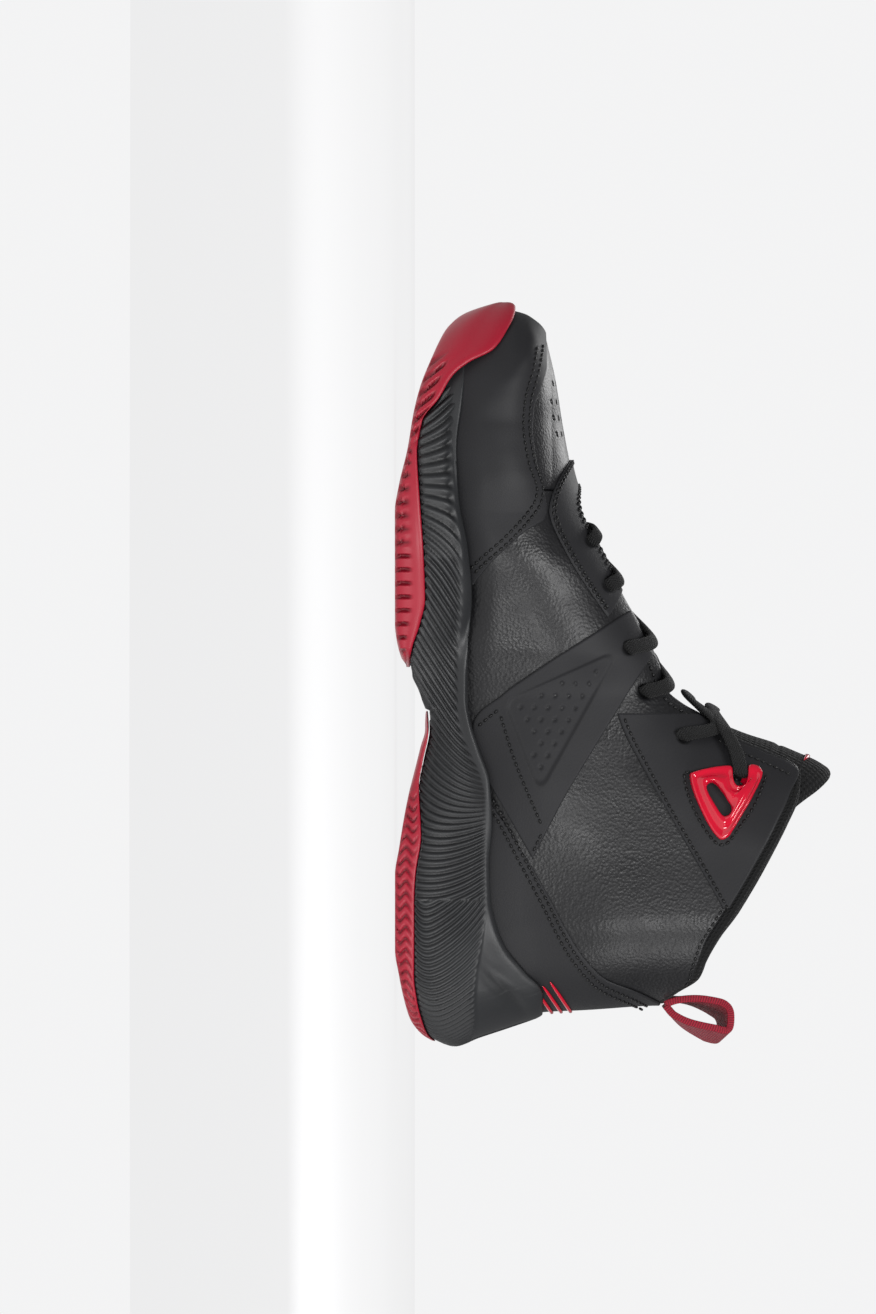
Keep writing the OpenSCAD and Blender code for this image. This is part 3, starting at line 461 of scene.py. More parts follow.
def in_triangle(x, y, corners, rounding):
    """Signed distance to a rounded triangle, negative inside."""
    c = np.array(corners, float)
    turn = np.sign((c[1, 0] - c[0, 0]) * (c[2, 1] - c[0, 1]) - (c[1, 1] - c[0, 1]) * (c[2, 0] - c[0, 0]))
    parts = []
    for a, b in zip(c, np.roll(c, -1, axis=0)):
        d = unit(b - a)
        parts.append(turn * ((x - a[0]) * d[1] - (y - a[1]) * d[0]) + rounding)
    stack = np.stack(parts)
    inside = np.minimum(stack.max(0), 0)
    return np.sqrt((np.maximum(stack, 0) ** 2).sum(0)) + inside - rounding


# ---- Materials ----


class Look:
    """Small helper round one node tree."""

    def __init__(self, name, colour, rough, spec=0.5):
        self.m = bpy.data.materials.new(name)
        self.m.use_nodes = True
        self.t = self.m.node_tree
        self.b = self.t.nodes["Principled BSDF"]
        self.b.inputs["Base Color"].default_value = (*colour, 1)
        self.b.inputs["Roughness"].default_value = rough
        self.b.inputs["Specular IOR Level"].default_value = spec
        self.m.diffuse_color = (*colour, 1)
        self.height = None

    def node(self, kind, **values):
        n = self.t.nodes.new(kind)
        for k, v in values.items():
            if hasattr(n, k) and k not in n.inputs:
                setattr(n, k, v)
            else:
                n.inputs[k].default_value = v
        return n

    def link(self, a, b):
        self.t.links.new(a, b)

    def where(self, cloth=False):
        if cloth:
            return self.node("ShaderNodeUVMap", uv_map="cloth").outputs[0]
        return self.node("ShaderNodeTexCoord").outputs["Object"]

    def noise(self, scale, detail=3, rough=0.55, at=None):
        n = self.node("ShaderNodeTexNoise", Scale=scale, Detail=detail, Roughness=rough)
        self.link(at or self.where(), n.inputs["Vector"])
        return n.outputs["Fac"]

    def cells(self, scale, feature="F1", at=None, randomness=1):
        n = self.node("ShaderNodeTexVoronoi", feature=feature, Scale=scale, Randomness=randomness)
        self.link(at or self.where(), n.inputs["Vector"])
        return n.outputs["Distance"]

    def math(self, op, a, b=0.0, c=None):
        n = self.node("ShaderNodeMath", operation=op)
        for k, v in enumerate((a, b, c)):
            if v is None:
                continue
            if isinstance(v, (int, float)):
                n.inputs[k].default_value = v
            else:
                self.link(v, n.inputs[k])
        return n.outputs[0]

    def span(self, x, a, b, lo, hi):
        n = self.node("ShaderNodeMapRange")
        self.link(x, n.inputs["Value"])
        for k, v in zip(("From Min", "From Max", "To Min", "To Max"), (a, b, lo, hi)):
            n.inputs[k].default_value = v
        return n.outputs[0]

    def contrast(self, x, lo=0, hi=1):
        """The middle of a noise spread from lo to hi."""
        return self.span(x, 0.3, 0.7, lo, hi)

    def shade(self):
        return self.node("ShaderNodeAttribute", attribute_name="shade").outputs["Fac"]

    def two(self, x, first, second):
        n = self.node("ShaderNodeMix", data_type="RGBA")
        self.link(x, n.inputs[0])
        n.inputs[6].default_value = (*first, 1)
        n.inputs[7].default_value = (*second, 1)
        return n.outputs[2]

    def paint(self, x, first, second):
        self.link(self.two(x, first, second), self.b.inputs["Base Color"])

    def roughness(self, x, lo, hi, a=0.3, b=0.7):
        self.link(self.span(x, a, b, lo, hi), self.b.inputs["Roughness"])

    def bump(self, height, distance, strength=1.0):
        """distance is the depth of the relief in metres."""
        n = self.node("ShaderNodeBump", Strength=strength, Distance=distance)
        self.link(height, n.inputs["Height"])
        if self.height is not None:
            self.link(self.height, n.inputs["Normal"])
        self.height = n.outputs[0]
        self.link(self.height, self.b.inputs["Normal"])


def tone(c, f):
    return tuple(min(1, v * f) for v in c)


def srgb(r, g, b):
    return tuple(((v / 255 + 0.055) / 1.055) ** 2.4 if v > 10 else v / 255 / 12.92 for v in (r, g, b))


def leather_grained():
    c = srgb(20, 20, 22)
    k = Look("grained_leather", c, 0.45, 0.4)
    pebble = k.cells(950, "SMOOTH_F1")
    fine = k.noise(1900, 2)
    fold = k.noise(60, 4, 0.6)
    tint = k.math("MULTIPLY", k.span(pebble, 0.1, 0.7, 1, 0.5), k.shade())
    k.paint(tint, tone(c, 0.35), tone(c, 1.25))
    k.roughness(fold, 0.34, 0.44)
    k.bump(fold, 0.0001, 0.15)
    k.bump(k.math("POWER", pebble, 1.4), 0.00016, 0.9)
    k.bump(fine, 0.00003, 0.6)
    return k.m


def leather_smooth():
    c = srgb(35, 35, 37)
    k = Look("smooth_leather", c, 0.5, 0.22)
    fine = k.cells(1500, "F1")
    cloud = k.noise(22, 3)
    tint = k.math("MULTIPLY", k.contrast(cloud, 0.75), k.shade())
    k.paint(tint, tone(c, 0.3), tone(c, 1.1))
    k.roughness(cloud, 0.46, 0.58)
    k.bump(cloud, 0.0012, 0.35)
    k.bump(fine, 0.00005, 0.6)
    return k.m


def fibres(name, c, rough, spec, grain, tones, relief):
    """Fine fibres: grain is the noise, tones the dark and bright colour, relief the bump."""
    k = Look(name, c, rough, spec)
    fibre = k.noise(*grain)
    k.paint(k.contrast(fibre), tone(c, tones[0]), tone(c, tones[1]))
    k.bump(fibre, *relief)
    return k.m


def foam_rubber():
    c = srgb(31, 32, 34)
    k = Look("midsole_foam", c, 0.4, 0.5)
    speck = k.noise(900, 2)
    cloud = k.noise(30, 3)
    k.paint(k.math("MULTIPLY", k.contrast(cloud, 0.8), k.shade()), tone(c, 0.35), tone(c, 1.2))
    k.roughness(cloud, 0.42, 0.55)
    k.bump(speck, 0.00005, 0.7)
    return k.m


def red_rubber():
    c = srgb(150, 12, 38)
    k = Look("red_rubber", c, 0.42, 0.5)
    speck = k.noise(1200, 2)
    cloud = k.noise(26, 4)
    k.paint(k.math("MULTIPLY", k.contrast(cloud, 0.82), k.shade()), tone(c, 0.45), tone(c, 1.12))
    k.roughness(cloud, 0.36, 0.5)
    k.bump(speck, 0.00004, 0.6)
    return k.m


def knit(name, c, pitch, depth, rough=0.8, sheen=0.3, second=0.35):
    """Spacer mesh or knit: rows of round holes that follow the cloth, coloured darker inside as painted
    shade.
    """
    k = Look(name, c, rough, 0.3)
    at = k.where(cloth=True)
    hole = k.cells(1 / pitch, "F1", at, randomness=0.12)
    strand = k.noise(0.9 / (pitch * 0.25), 2, at=at)
    h = k.math("MULTIPLY", k.span(hole, 0.12, 0.5, 0, 1), k.span(strand, 0.2, 0.8, 0.75, 1))
    # Painted shade: in the holes the colour drops to second times the colour
    k.paint(k.span(hole, 0.1, 0.42, 0, 1), tone(c, second), tone(c, 1.2))
    k.b.inputs["Sheen Weight"].default_value = sheen
    k.b.inputs["Sheen Roughness"].default_value = 0.4
    k.bump(h, depth)
    return k.m


def woven(name, c, rib, depth, across=True, rough=0.7, sheen=0.25):
    """Webbing or lace: ribs across the band, and fine threads along it."""
    k = Look(name, c, rough, 0.35)
    at = k.where(cloth=True)
    parts = k.node("ShaderNodeSeparateXYZ")
    k.link(at, parts.inputs[0])
    u, v = parts.outputs[0], parts.outputs[1]
    one = k.math("SINE", k.math("MULTIPLY", u, 2 * math.pi / rib))
    two = k.math("SINE", k.math("MULTIPLY", v, 2 * math.pi / (rib * 0.8)))
    weave = k.math("MULTIPLY", one, two) if across else k.math("ADD", one, k.math("MULTIPLY", two, 0.6))
    h = k.span(weave, -1, 1, 0, 1)
    fuzz = k.noise(2200, 2)
    # Painted shade and light: the colour follows the height of the weave, darker in its hollows and lighter
    # on its raised threads; the fuzz gives the threads an uneven tone of their own
    k.paint(k.math("MULTIPLY", h, k.contrast(fuzz, 0.7)), tone(c, 0.5), tone(c, 1.3))
    k.b.inputs["Sheen Weight"].default_value = sheen
    k.b.inputs["Sheen Roughness"].default_value = 0.5
    k.bump(h, depth)
    k.bump(fuzz, 0.00008, 0.6)
    return k.m


def glossy_red():
    c = srgb(196, 0, 40)
    k = Look("bright_red_gloss", c, 0.16, 0.6)
    cloud = k.noise(60, 2)
    k.paint(k.contrast(cloud), tone(c, 0.85), c)
    k.roughness(cloud, 0.07, 0.11)
    k.b.inputs["Coat Weight"].default_value = 0.3
    k.b.inputs["Coat Roughness"].default_value = 0.06
    k.bump(cloud, 0.0002, 0.3)
    return k.m


def stiff_board(name, c):
    return fibres(name, c, 0.75, 0.3, (700, 4), (0.7, 1.15), (0.0002,))


def insole_cloth():
    """Red insole cloth with three plain dark stripes along its middle."""
    c = srgb(150, 14, 40)
    k = Look("insole_cloth", c, 0.8, 0.3)
    parts = k.node("ShaderNodeSeparateXYZ")
    k.link(k.where(), parts.inputs[0])
    x, y = parts.outputs[0], parts.outputs[1]
    wave = k.math("SINE", k.math("MULTIPLY", k.math("ADD", x, 0.004), 2 * math.pi / 0.009))
    band = k.math("LESS_THAN", k.math("ABSOLUTE", k.math("ADD", x, 0.004)), 0.0135)
    length = k.math("LESS_THAN", k.math("ABSOLUTE", k.math("ADD", y, 0.085)), 0.04)
    dark = k.math("MULTIPLY", k.math("MULTIPLY", k.math("GREATER_THAN", wave, 0.35), band), length)
    pile = k.noise(1500, 3)
    k.link(k.two(dark, c, srgb(24, 16, 20)), k.b.inputs["Base Color"])
    k.b.inputs["Sheen Weight"].default_value = 0.3
    k.bump(pile, 0.0002)
    return k.m


GRAINED = leather_grained()
SMOOTH = leather_smooth()
THREAD = fibres("black_thread", srgb(4, 4, 5), 0.45, 0.4, (2600, 1), (0.6, 1.4), (0.0001, 0.8))
FOAM = foam_rubber()
RED_RUBBER = red_rubber()
GLOSS = glossy_red()
EDGE = fibres("raw_edge", srgb(128, 128, 130), 0.8, 0.3, (1600, 3), (0.55, 1.2), (0.00015,))
BOARD = stiff_board("counter_board", srgb(190, 172, 140))
PLATE = stiff_board("shank_plate", srgb(96, 98, 102))
MESH = knit("black_mesh", srgb(9, 9, 10), 0.0017, 0.0006, sheen=0.04)
TONGUE_MESH = knit("tongue_mesh", srgb(9, 9, 10), 0.0022, 0.0008, sheen=0.04)
RED_KNIT = knit("red_knit", srgb(206, 10, 44), 0.0019, 0.0006, second=0.6)
LACE = woven("lace_cord", srgb(9, 9, 10), 0.0014, 0.0006, sheen=0.04)
RED_WEB = woven("red_webbing", srgb(138, 8, 36), 0.001, 0.00015, across=False, sheen=0.05)
BLACK_WEB = woven("black_webbing", srgb(24, 24, 26), 0.0015, 0.0003, across=False)
INSOLE = insole_cloth()

# ---- Sole ----


def stations(a, b, round_a, round_b, counts):
    n_a, n_mid, n_b = counts
    i = np.arange(n_a)
    j = np.arange(n_b, 0, -1) - 1
    return np.concatenate([a + round_a * (1 - np.cos(np.pi / 2 * i / n_a)),
                           np.linspace(a + round_a, b - round_b, n_mid + 1),
                           b - round_b * (1 - np.cos(np.pi / 2 * j / n_b))])


def half_ring(a, b, round_a, round_b, inset, height, counts):
    """s, half width and height along one side of a ring."""
    s = stations(a, b, round_a, round_b, counts)
    half = (SOLE_HALF(s) - inset(s)) * arch((s - a) / round_a, 2.1) * arch((b - s) / round_b, 2.2)
    return np.stack([s, half, height(s) * np.ones(len(s))], 1)


def upper_half_ring(a, b, margin, height, counts):
    """A half ring that follows the upper, a little wider by margin."""
    s = stations(a, b, 40, 90, counts)
    z = height(s) * np.ones(len(s))
    u = mix(HEEL_LINE(z), TOE_LINE(z), (s - a) / (b - a))
    shift = UPPER_MID(u) - SOLE_MID(s)
    return np.stack([s, upper_half(u, z) * (1 + margin / ANKLE_HALF), z, shift], 1)


def across(a, b, n, shape=None):
    """Rows between two side walls, moved up by shape(x, s, share of the way)."""
    f = np.linspace(0, 1, n + 2)[1:-1][:, None]
    p = mix(a[None], b[None], f[..., None])
    if shape is not None:
        p[..., 2] += shape(p[..., 0], p[..., 1] + HALF_LENGTH, f)
    return p


def sweep_rings(rings, rows, under, over, relief=None, floor_relief=None):
    """Closed solid through half rings from the bottom up the side and down the inside.

    rows is how many rows each gap between rings gets, and under and over are the rows across the
    underside and the inside. relief(s, z, run, t) moves the side wall out and shades it."""
    full = [r if r.shape[1] == 4 else np.concatenate([r, np.zeros((len(r), 1))], 1) for r in rings]
    t = np.concatenate([np.arange(k, dtype=float) / k + i for i, k in enumerate(rows)] + [[len(rows)]])
    wall = line(np.stack(full).reshape(len(rings), -1))(t / (len(rings) - 1)).reshape(len(t), -1, 4)
    s, half, z, shift = (wall[..., k] for k in range(4))
    half = np.maximum(half, 0)
    ends = soft(np.arange(s.shape[1]), 0, 1)
    walls, tints = [], []
    for side in (MEDIAL, LATERAL):
        p = np.stack([SOLE_MID(s) + shift + side * half, s - HALF_LENGTH, z], -1)
        tint = np.ones(s.shape)
        if relief is not None:
            n = grid_normals(p)
            if (n[..., 0] * side).sum() < 0:
                n = -n
            run = lengths(p[len(t) // 2])
            out, tint = relief(s, z, run[None, :] * np.ones((len(t), 1)), wide(t, s.shape[1]))
            p = p + n * (out * ends * ends[::-1])[..., None]
        walls.append(p)
        tints.append(tint)
    medial, lateral = walls
    bottom = across(lateral[0], medial[0], under, floor_relief)
    top = across(medial[-1], lateral[-1], over)
    p = np.concatenate([medial, top, lateral[::-1], bottom])
    tint = np.concatenate([tints[0], np.ones(top.shape[:2]), tints[1][::-1], np.ones(bottom.shape[:2])])
    return p, tint


def solid(name, p, tint, mat, nodes):
    """Closes a grid that is a loop in its first index, and joins its end columns."""
    f = quads(*p.shape[:2], close_i=True)
    ob = make(name, p.reshape(-1, 3), f.tolist(), mat, shade=tint.ravel())
    fix_normals(ob, join=0.02 * MM)
    return place(ob, "shoe", nodes)


def waist(s):
    """How much narrower the rubber and the foam are under the arch."""
    return 5 * ramp(s, 90, 115) * (1 - ramp(s, 148, 165))


def const(v):
    return lambda s: v * np.ones(len(s))


def zigzag(u):
    """Straight wave between 0 and 1."""
    return 2 * np.abs(u - np.floor(u + 0.5))


def notch_at(phase, start, full):
    """0 between the notches of a row and 1 in the middle of each, one for every whole phase."""
    return soft(0.5 - np.abs(phase - np.floor(phase) - 0.5), start, full)


def tread(strength, start, end):
    """Herringbone grooves that cut up into the underside between two stations."""
    def rise(x, s, f):
        phase = s / 6.2 + 0.9 * zigzag(x / 17.0)
        groove = 1 - soft(np.abs(phase - np.round(phase)), 0.16, 0.3)
        share = strength * groove * soft(s, *start) * (1 - soft(s, *end))
        return share * soft(f, 0, 0.06) * (1 - soft(f, 0.94, 1))

    return rise


def fore_relief(s, z, run, t):
    """Side notches of the forefoot rubber, and slanted teeth below the toe, with painted shade in the
    notches and between the teeth.
    """
    low = TREAD_FORE(s)
    band = soft(t, 0.1, 1.0) * (1 - soft(t, 2.2, 3.2))
    pitch = np.where(s < 235, 5.4, 4.4)
    lean = np.where(s < 235, 0, 0.5)
    notch = notch_at((s + lean * (z - low)) / pitch, 0.30, 0.42)
    where = 1 - soft(s, 236, 244)
    toe = soft(s, 240, 248) * (1 - soft(s, 272, 280))
    wave = 0.5 + 0.5 * np.cos(2 * np.pi * (s - 0.75 * (z - 10)) / 4.6)
    part = notch * band * where * 2.2 * (1 - soft(z - low, 6.0, 8.0))
    teeth = toe * (1 - soft(z - low, 5, 7.5)) * soft(wave, 0.5, 0.8) * 2.0 * soft(t, 0.3, 1.0)
    teeth = teeth * (1 - soft(t, 3.4, 4.2))
    lip = 0.35 * np.exp(-((t - 3.6) / 0.45) ** 2)
    return -part - teeth + lip, 1 - 0.75 * np.clip(part + teeth, 0, 1)


def outsole_fore():
    low, rim = TREAD_FORE, RIM_FORE
    lip = lambda s: mix(3, 1, ramp(s, 240, 275))
    wall = lambda s: mix(5, 1.4, ramp(s, 240, 275))
    rings = [half_ring(*ring, [24, 150, 150]) for ring in (
        (156, 288, 8, 92, INSET_FOOT, low),
        (154, 295.5, 8, 97, const(1.4), lambda s: low(s) + 0.6),
        (153, 300, 8, 100, const(0.2), lambda s: mix(low(s), rim(s), 0.25)),
        (153, 300.5, 8, 100, const(0), lambda s: mix(low(s), rim(s), 0.6)),
        (153.4, 299.6, 8, 100, const(0.3), rim),
        (154.4, 298.2, 8, 99, const(1.7), rim),
        (155.5, 297.4, 8, 98, lip, lambda s: mix(low(s) + RUBBER, rim(s), 0.4)),
        (157, 294.6, 8, 97, wall, lambda s: low(s) + RUBBER))]
    floor_relief = tread(1.6, (158, 164), (278, 286))
    p, tint = sweep_rings(rings, [4, 6, 12, 12, 3, 3, 3], 90, 3, fore_relief, floor_relief)
    return solid("outsole_forefoot_rubber", p, tint, RED_RUBBER, ["outsole_forefoot"])


def heel_relief(s, z, run, t):
    """Wavy side notches of the heel rubber, with painted shade in the notches."""
    notch = notch_at((run + 1.3 * np.sin(z * 1.1)) / 4.6, 0.26, 0.42)
    where = 1 - soft(s, 96, 108)
    band = soft(t, 0.3, 1.1) * (1 - soft(t, 2.0, 2.9))
    return -1.3 * notch * band * where, 1 - 0.75 * notch * band * where


def outsole_back():
    low, rim = TREAD_HEEL, RIM_HEEL
    inset = lambda by: lambda s: by + waist(s)
    rings = [half_ring(*ring, [90, 120, 24]) for ring in (
        (9, 130, 40, 10, inset(4), low),
        (4.5, 134, 41, 10, inset(1.4), lambda s: low(s) + 0.5),
        (2.2, 135, 42, 10, inset(0.2), lambda s: mix(low(s), rim(s), 0.6)),
        (1.8, 135, 42, 10, inset(0.3), rim),
        (3.6, 133.5, 42, 10, inset(1.9), rim),
        (8, 130, 40, 10, inset(5.5), lambda s: np.minimum(low(s) + RUBBER, rim(s) - 0.4)))]
    floor_relief = tread(1.5, (12, 20), (118, 126))
    p, tint = sweep_rings(rings, [5, 12, 12, 3, 4], 90, 3, heel_relief, floor_relief)
    return solid("outsole_heel_rubber", p, tint, RED_RUBBER, ["outsole_heel"])


# Ribs of the midsole: how far each rib line moves along the shoe for a millimetre of height
RIB_LEAN = curve([
    [-60, 0.25], [0, 0.25], [60, 0.2], [85, 0.0], [100, -0.5], [115, -1.0], [137, -1.46], [178, -1.5],
    [200, -0.95], [218, -0.3], [244, 0.5], [260, 0.9], [300, 0.9]])
RIB_PITCH = curve([[-60, 2.9], [60, 2.9], [100, 3.1], [140, 3.8], [180, 5.0], [230, 4.8], [300, 4.4]])
RIB_AT = np.linspace(-60, 330, 800)
RIB_COUNT = np.concatenate([[0], np.cumsum(np.diff(RIB_AT) / RIB_PITCH((RIB_AT[1:] + RIB_AT[:-1]) / 2))])
RIB_TOP = curve([
    [0, 30], [10, 32], [20, 31.5], [30, 32.3], [40, 34], [50, 35.5], [60, 36.5], [100, 36.3], [110, 34],
    [120, 29.5], [130, 26], [140, 25], [155, 25], [180, 27], [200, 26.5], [220, 24], [240, 23], [260, 25],
    [300, 26]])


def mid_low(s):
    rim = np.where(s < 136, RIM_HEEL(s), np.where(s > 154, RIM_FORE(s), ARCH_LINE(s)))
    rise = 0.4 * ramp(s, 112, 123) * (1 - ramp(s, 136, 140))
    return np.minimum(rim + 0.4 + rise, np.interp(s, [0, 262, 268, 293], [60, 60, 24.5, 26]))


def mid_foot(s):
    arch_z = np.interp(s, [131, 137, 142, 150, 156], [14.2, 14, 10.8, 7.4, 6.7])
    return np.where(s < 131, np.minimum(TREAD_HEEL(s) + RUBBER, RIM_HEEL(s)) + 0.4,
                    np.where(s > 156, TREAD_FORE(s) + RUBBER + 0.4, arch_z))


def mid_feather(s):
    return np.where(s < 22, 57.5, FEATHER(s))


def mid_relief(s, z, run, t):
    """Ribs, a ledge above them round the heel, and a hollow at the heel, with painted shade in the grooves
    and the hollow.
    """
    join = run[0, np.argmin(np.abs(s[len(s) // 2] - 60))] - 60
    along = np.where(s < 60, run - join, s)
    along = along - RIB_LEAN(along) * (z - 18) - 0.017 * (z - 19) ** 2 * (1 - soft(along, 90, 115))
    ridge = np.abs(np.sin(np.pi * np.interp(along, RIB_AT, RIB_COUNT))) ** 1.3
    top = RIB_TOP(s)
    band = (1 - soft(z, top - 1.6, top + 0.4)) * soft(t, 1.2, 2.2) * (1 - soft(t, 5.5, 6.2))
    groove = (1 - ridge) * (band * (1 - soft(s, 266, 276)))
    depth = mix(1.2, 1.6, soft(s, 120, 190))
    inside = 1 - soft(t, 5.2, 6)
    ledge = 0.9 * soft(z, top - 0.4, top + 1.2) * (1 - soft(s, 70, 110)) * inside
    cup = np.exp(-(((s - 23) / 8) ** 2)) * np.exp(-(((z - 45 + 0.8 * (s - 22)) / 3.6) ** 2))
    return -depth * groove - ledge * 0.7 - 1.6 * cup * inside, 1 - 0.8 * groove - 0.35 * cup


def midsole():
    c = [130, 330, 150]
    toe_in = lambda v, w=1: lambda s: mix(v, 3.9, ramp(s, 258, 272)) + waist(s) * w
    side = lambda f: lambda s: mix(mid_low(s), mid_feather(s), f)
    rings = [half_ring(*ring, c) for ring in (
        (12, 288, 40, 92, lambda s: 6.8 + waist(s), mid_foot),
        (5.5, 289.5, 41, 95, toe_in(2.9), mid_low),
        (2.4, 291.5, 42, 96, toe_in(0.8), lambda s: mid_low(s) + 0.1),
        (-0.5, 292, 42, 96, toe_in(0.1, 0.7), side(0.15)),
        (3, 292, 42, 96, toe_in(0.7, 0.35), side(0.45)),
        (7, 292, 42, 96, toe_in(2.6, 0), lambda s: side(0.75 - 0.15 * ramp(s, 258, 272))(s)),
        (10.8, 292, 42, 96, INSET_TOP, lambda s: mid_feather(s) - 0.5))]
    rings += [upper_half_ring(*ring, c) for ring in (
        (12.1, 291.8, 1.2, mid_feather),
        (5.6, 291.2, 1.1, lambda s: mix(BED(s), mid_feather(s), 0.35)),
        (3.5, 289.5, 0.4, BED))]
    p, tint = sweep_rings(rings, [2, 2, 8, 20, 20, 16, 3, 6, 3], 6, 6, mid_relief)
    return solid("midsole_ribbed", p, tint, FOAM, ["midsole"])


def board_high(s):
    """Top of the board, which rises over the shank."""
    return BED(s) + 2.1 + 1.6 * ramp(s, 55, 66) * (1 - ramp(s, 168, 180))


def sockliner():
    low = lambda s: board_high(s) + 0.2
    high = lambda s: low(s) + np.interp(s, [0, 60, 120, 180, 300], [6, 5.5, 5, 4, 3.4])
    rings = [upper_half_ring(*ring, [30, 70, 40]) for ring in (
        (14, 280, -8, low), (14, 280, -8, high), (15, 279, -9.6, lambda s: high(s) + 0.1))]
    p, tint = sweep_rings(rings, [6, 2], 30, 40)
    ob = solid("sockliner_pad", p, tint, INSOLE, ["sockliner"])
    return ob


outsole_fore()
outsole_back()
midsole()
sockliner()

# ---- Leather of the upper ----

BASE = -1.0
LEATHER = 1.2
SHEET_EDGE = 0.8
HOLE_RADIUS = 3.1
BEND = 205
TRIANGLE = [(102.5, 57.8), (160.5, 90.5), (139.5, 43.5)]
TRIANGLE_ROUND = 5.0


def both_sides(reach, start, n):
    """Distances from the back of the heel, from the medial side to the lateral side."""
    return np.concatenate([-np.linspace(reach, start, n), np.linspace(start, reach, n)])


def heel_grid(e, low, high, rows):
    s = np.abs(e) + 14
    z = mix(low(s)[:, None], high(s)[:, None], rows[None, :])
    return heel_point(wide(e, len(rows)), z)


def lace_holes(s, z, eyelets):
    """Height and shade of leather with lace holes."""
    holes = dents(s, z, eyelets, HOLE_RADIUS)
    return -0.9 * holes, 1 - 0.8 * holes


def low_edge(s):
    """Lower edge of the leather, hidden in the midsole."""
    return BED(s) + 2


def creases(p, s):
    """Leather unevenness with soft folds where the forefoot bends."""
    fold = np.exp(-((s - BEND) / 26) ** 2)
    lines = np.sin((p[..., 1] + 0.55 * p[..., 2] + 4 * noise(p, 40, 5)) / 7.5 * 2 * np.pi)
    return 0.04 * noise(p, 60, 3) + 0.015 * fold * lines + 0.008 * noise(p, 13, 9)


def leather_top(s):
    """Cut edge of the leather along the collar, a little under the padded mesh."""
    return COLLAR(s) - 2.4 * soft(s, 26, 46) * (1 - soft(s, 102, 112))


def quarter(side):
    parts = [np.linspace(0.15, 60, 90), np.linspace(60.7, 130, 110), np.linspace(131, 210.5, 90)]
    p = heel_grid(side * np.concatenate(parts), low_edge, leather_top, spaced(80, 90))
    s, z = p[..., 1] + HALF_LENGTH, p[..., 2]
    holes, shade = lace_holes(s, z, EYELETS)
    node = f"quarter_{side_name(side)}"
    sheet(f"{node}_leather", p, BASE, GRAINED, [node], creases(p, s) + holes, shade)


def vamp():
    parts = [np.linspace(224.4, 240, 34), np.linspace(240.5, 272, 78), np.linspace(272.6, 290.5, 34)]
    s_line = np.concatenate(parts)
    low = np.interp(s_line, [224, 240, 262, 280, 292], [46, 44, 46, 50, 53])
    top = np.minimum(CREST(s_line), np.interp(s_line, [284, 285, 290, 293], [80, 62.3, 60, 57]))
    v = np.linspace(-1, 1, 231)
    z = top[:, None] - (top - low)[:, None] * (1 - np.cos(np.radians(88 * np.abs(v))))[None, :]
    s = wide(s_line, len(v))
    p = upper_point(s, z, np.where(v < 0, MEDIAL, LATERAL)[None, :])
    # Breathing holes: rows across the shoe, moved to the middle of the vamp, dented and darkened inside as
    # painted shade
    rows = [(r, c) for r in (247, 253.5, 260) for c in (-14.5, -8.5, -2.5, 3.5, 9.5, 15.5, 21.5)]
    rows += [(267.5, c) for c in (-9.5, -3.5, 2.5, 8.5, 14.5)]
    holes = dents(s, p[..., 0], [(r, c - 4.3) for r, c in rows], 1.05)
    sheet("vamp_leather", p, BASE - 0.1, GRAINED, ["vamp"],
          0.7 * creases(p, s) - 1.0 * holes, 1 - 0.9 * holes)


def mudguard():
    g = np.concatenate([-np.linspace(109, 0, 170), np.linspace(0, 109, 170)[1:]])
    g[np.abs(g) < 0.01] = 1e-4
    s = 296 - np.abs(g)
    low = mix(low_edge(s), 29, soft(s, 262, 290))
    high = np.maximum(MUDGUARD_SEAM(s), low_edge(s) + 6)
    rows = spaced(46, 60)
    # Rows lie closer together at the top, where the leather turns over the toe
    z = mix(low[:, None], high[:, None], np.sin(np.pi / 2 * rows)[None, :] * 0.5 + rows[None, :] * 0.5)
    p = toe_point(wide(g, len(rows)), z)
    sheet("mudguard_overlay", p, 0, SMOOTH, ["mudguard"],
          0.12 * noise(p, 40, 21) + 0.05 * noise(p, 14, 22))


def mirrored(points):
    """Line over the crest from the medial to the lateral side, with medial angles negative."""
    return [[s, -a] for s, a in points] + points[-2::-1]


def throat():
    t, r = spaced(170, 150), spaced(30, 24)
    a, b = line(mirrored(THROAT_INNER))(t), line(mirrored(THROAT_OUTER))(t)
    q = mix(a[:, None, :], b[:, None, :], r[None, :, None])
    p = crest_point(q[..., 0], q[..., 1])
    holes, shade = lace_holes(p[..., 1] + HALF_LENGTH, p[..., 2], EYELETS[:2])
    sheet("throat_overlay_leather", p, 0.05, SMOOTH, ["throat_overlay"],
          0.1 * noise(p, 30, 31) + holes, shade)


def eyestay(side):
    s_line = np.linspace(142, 221, 120)
    r = spaced(12, 14)
    z = COLLAR(s_line)[:, None] + 0.3 - (1 - r[None, :]) * 14
    p = upper_point(wide(s_line, len(r)), z, side)
    name = side_name(side)
    sheet(f"eyestay_edge_{name}", p, -2.35, EDGE, [f"eyestay_backing_{name}"])


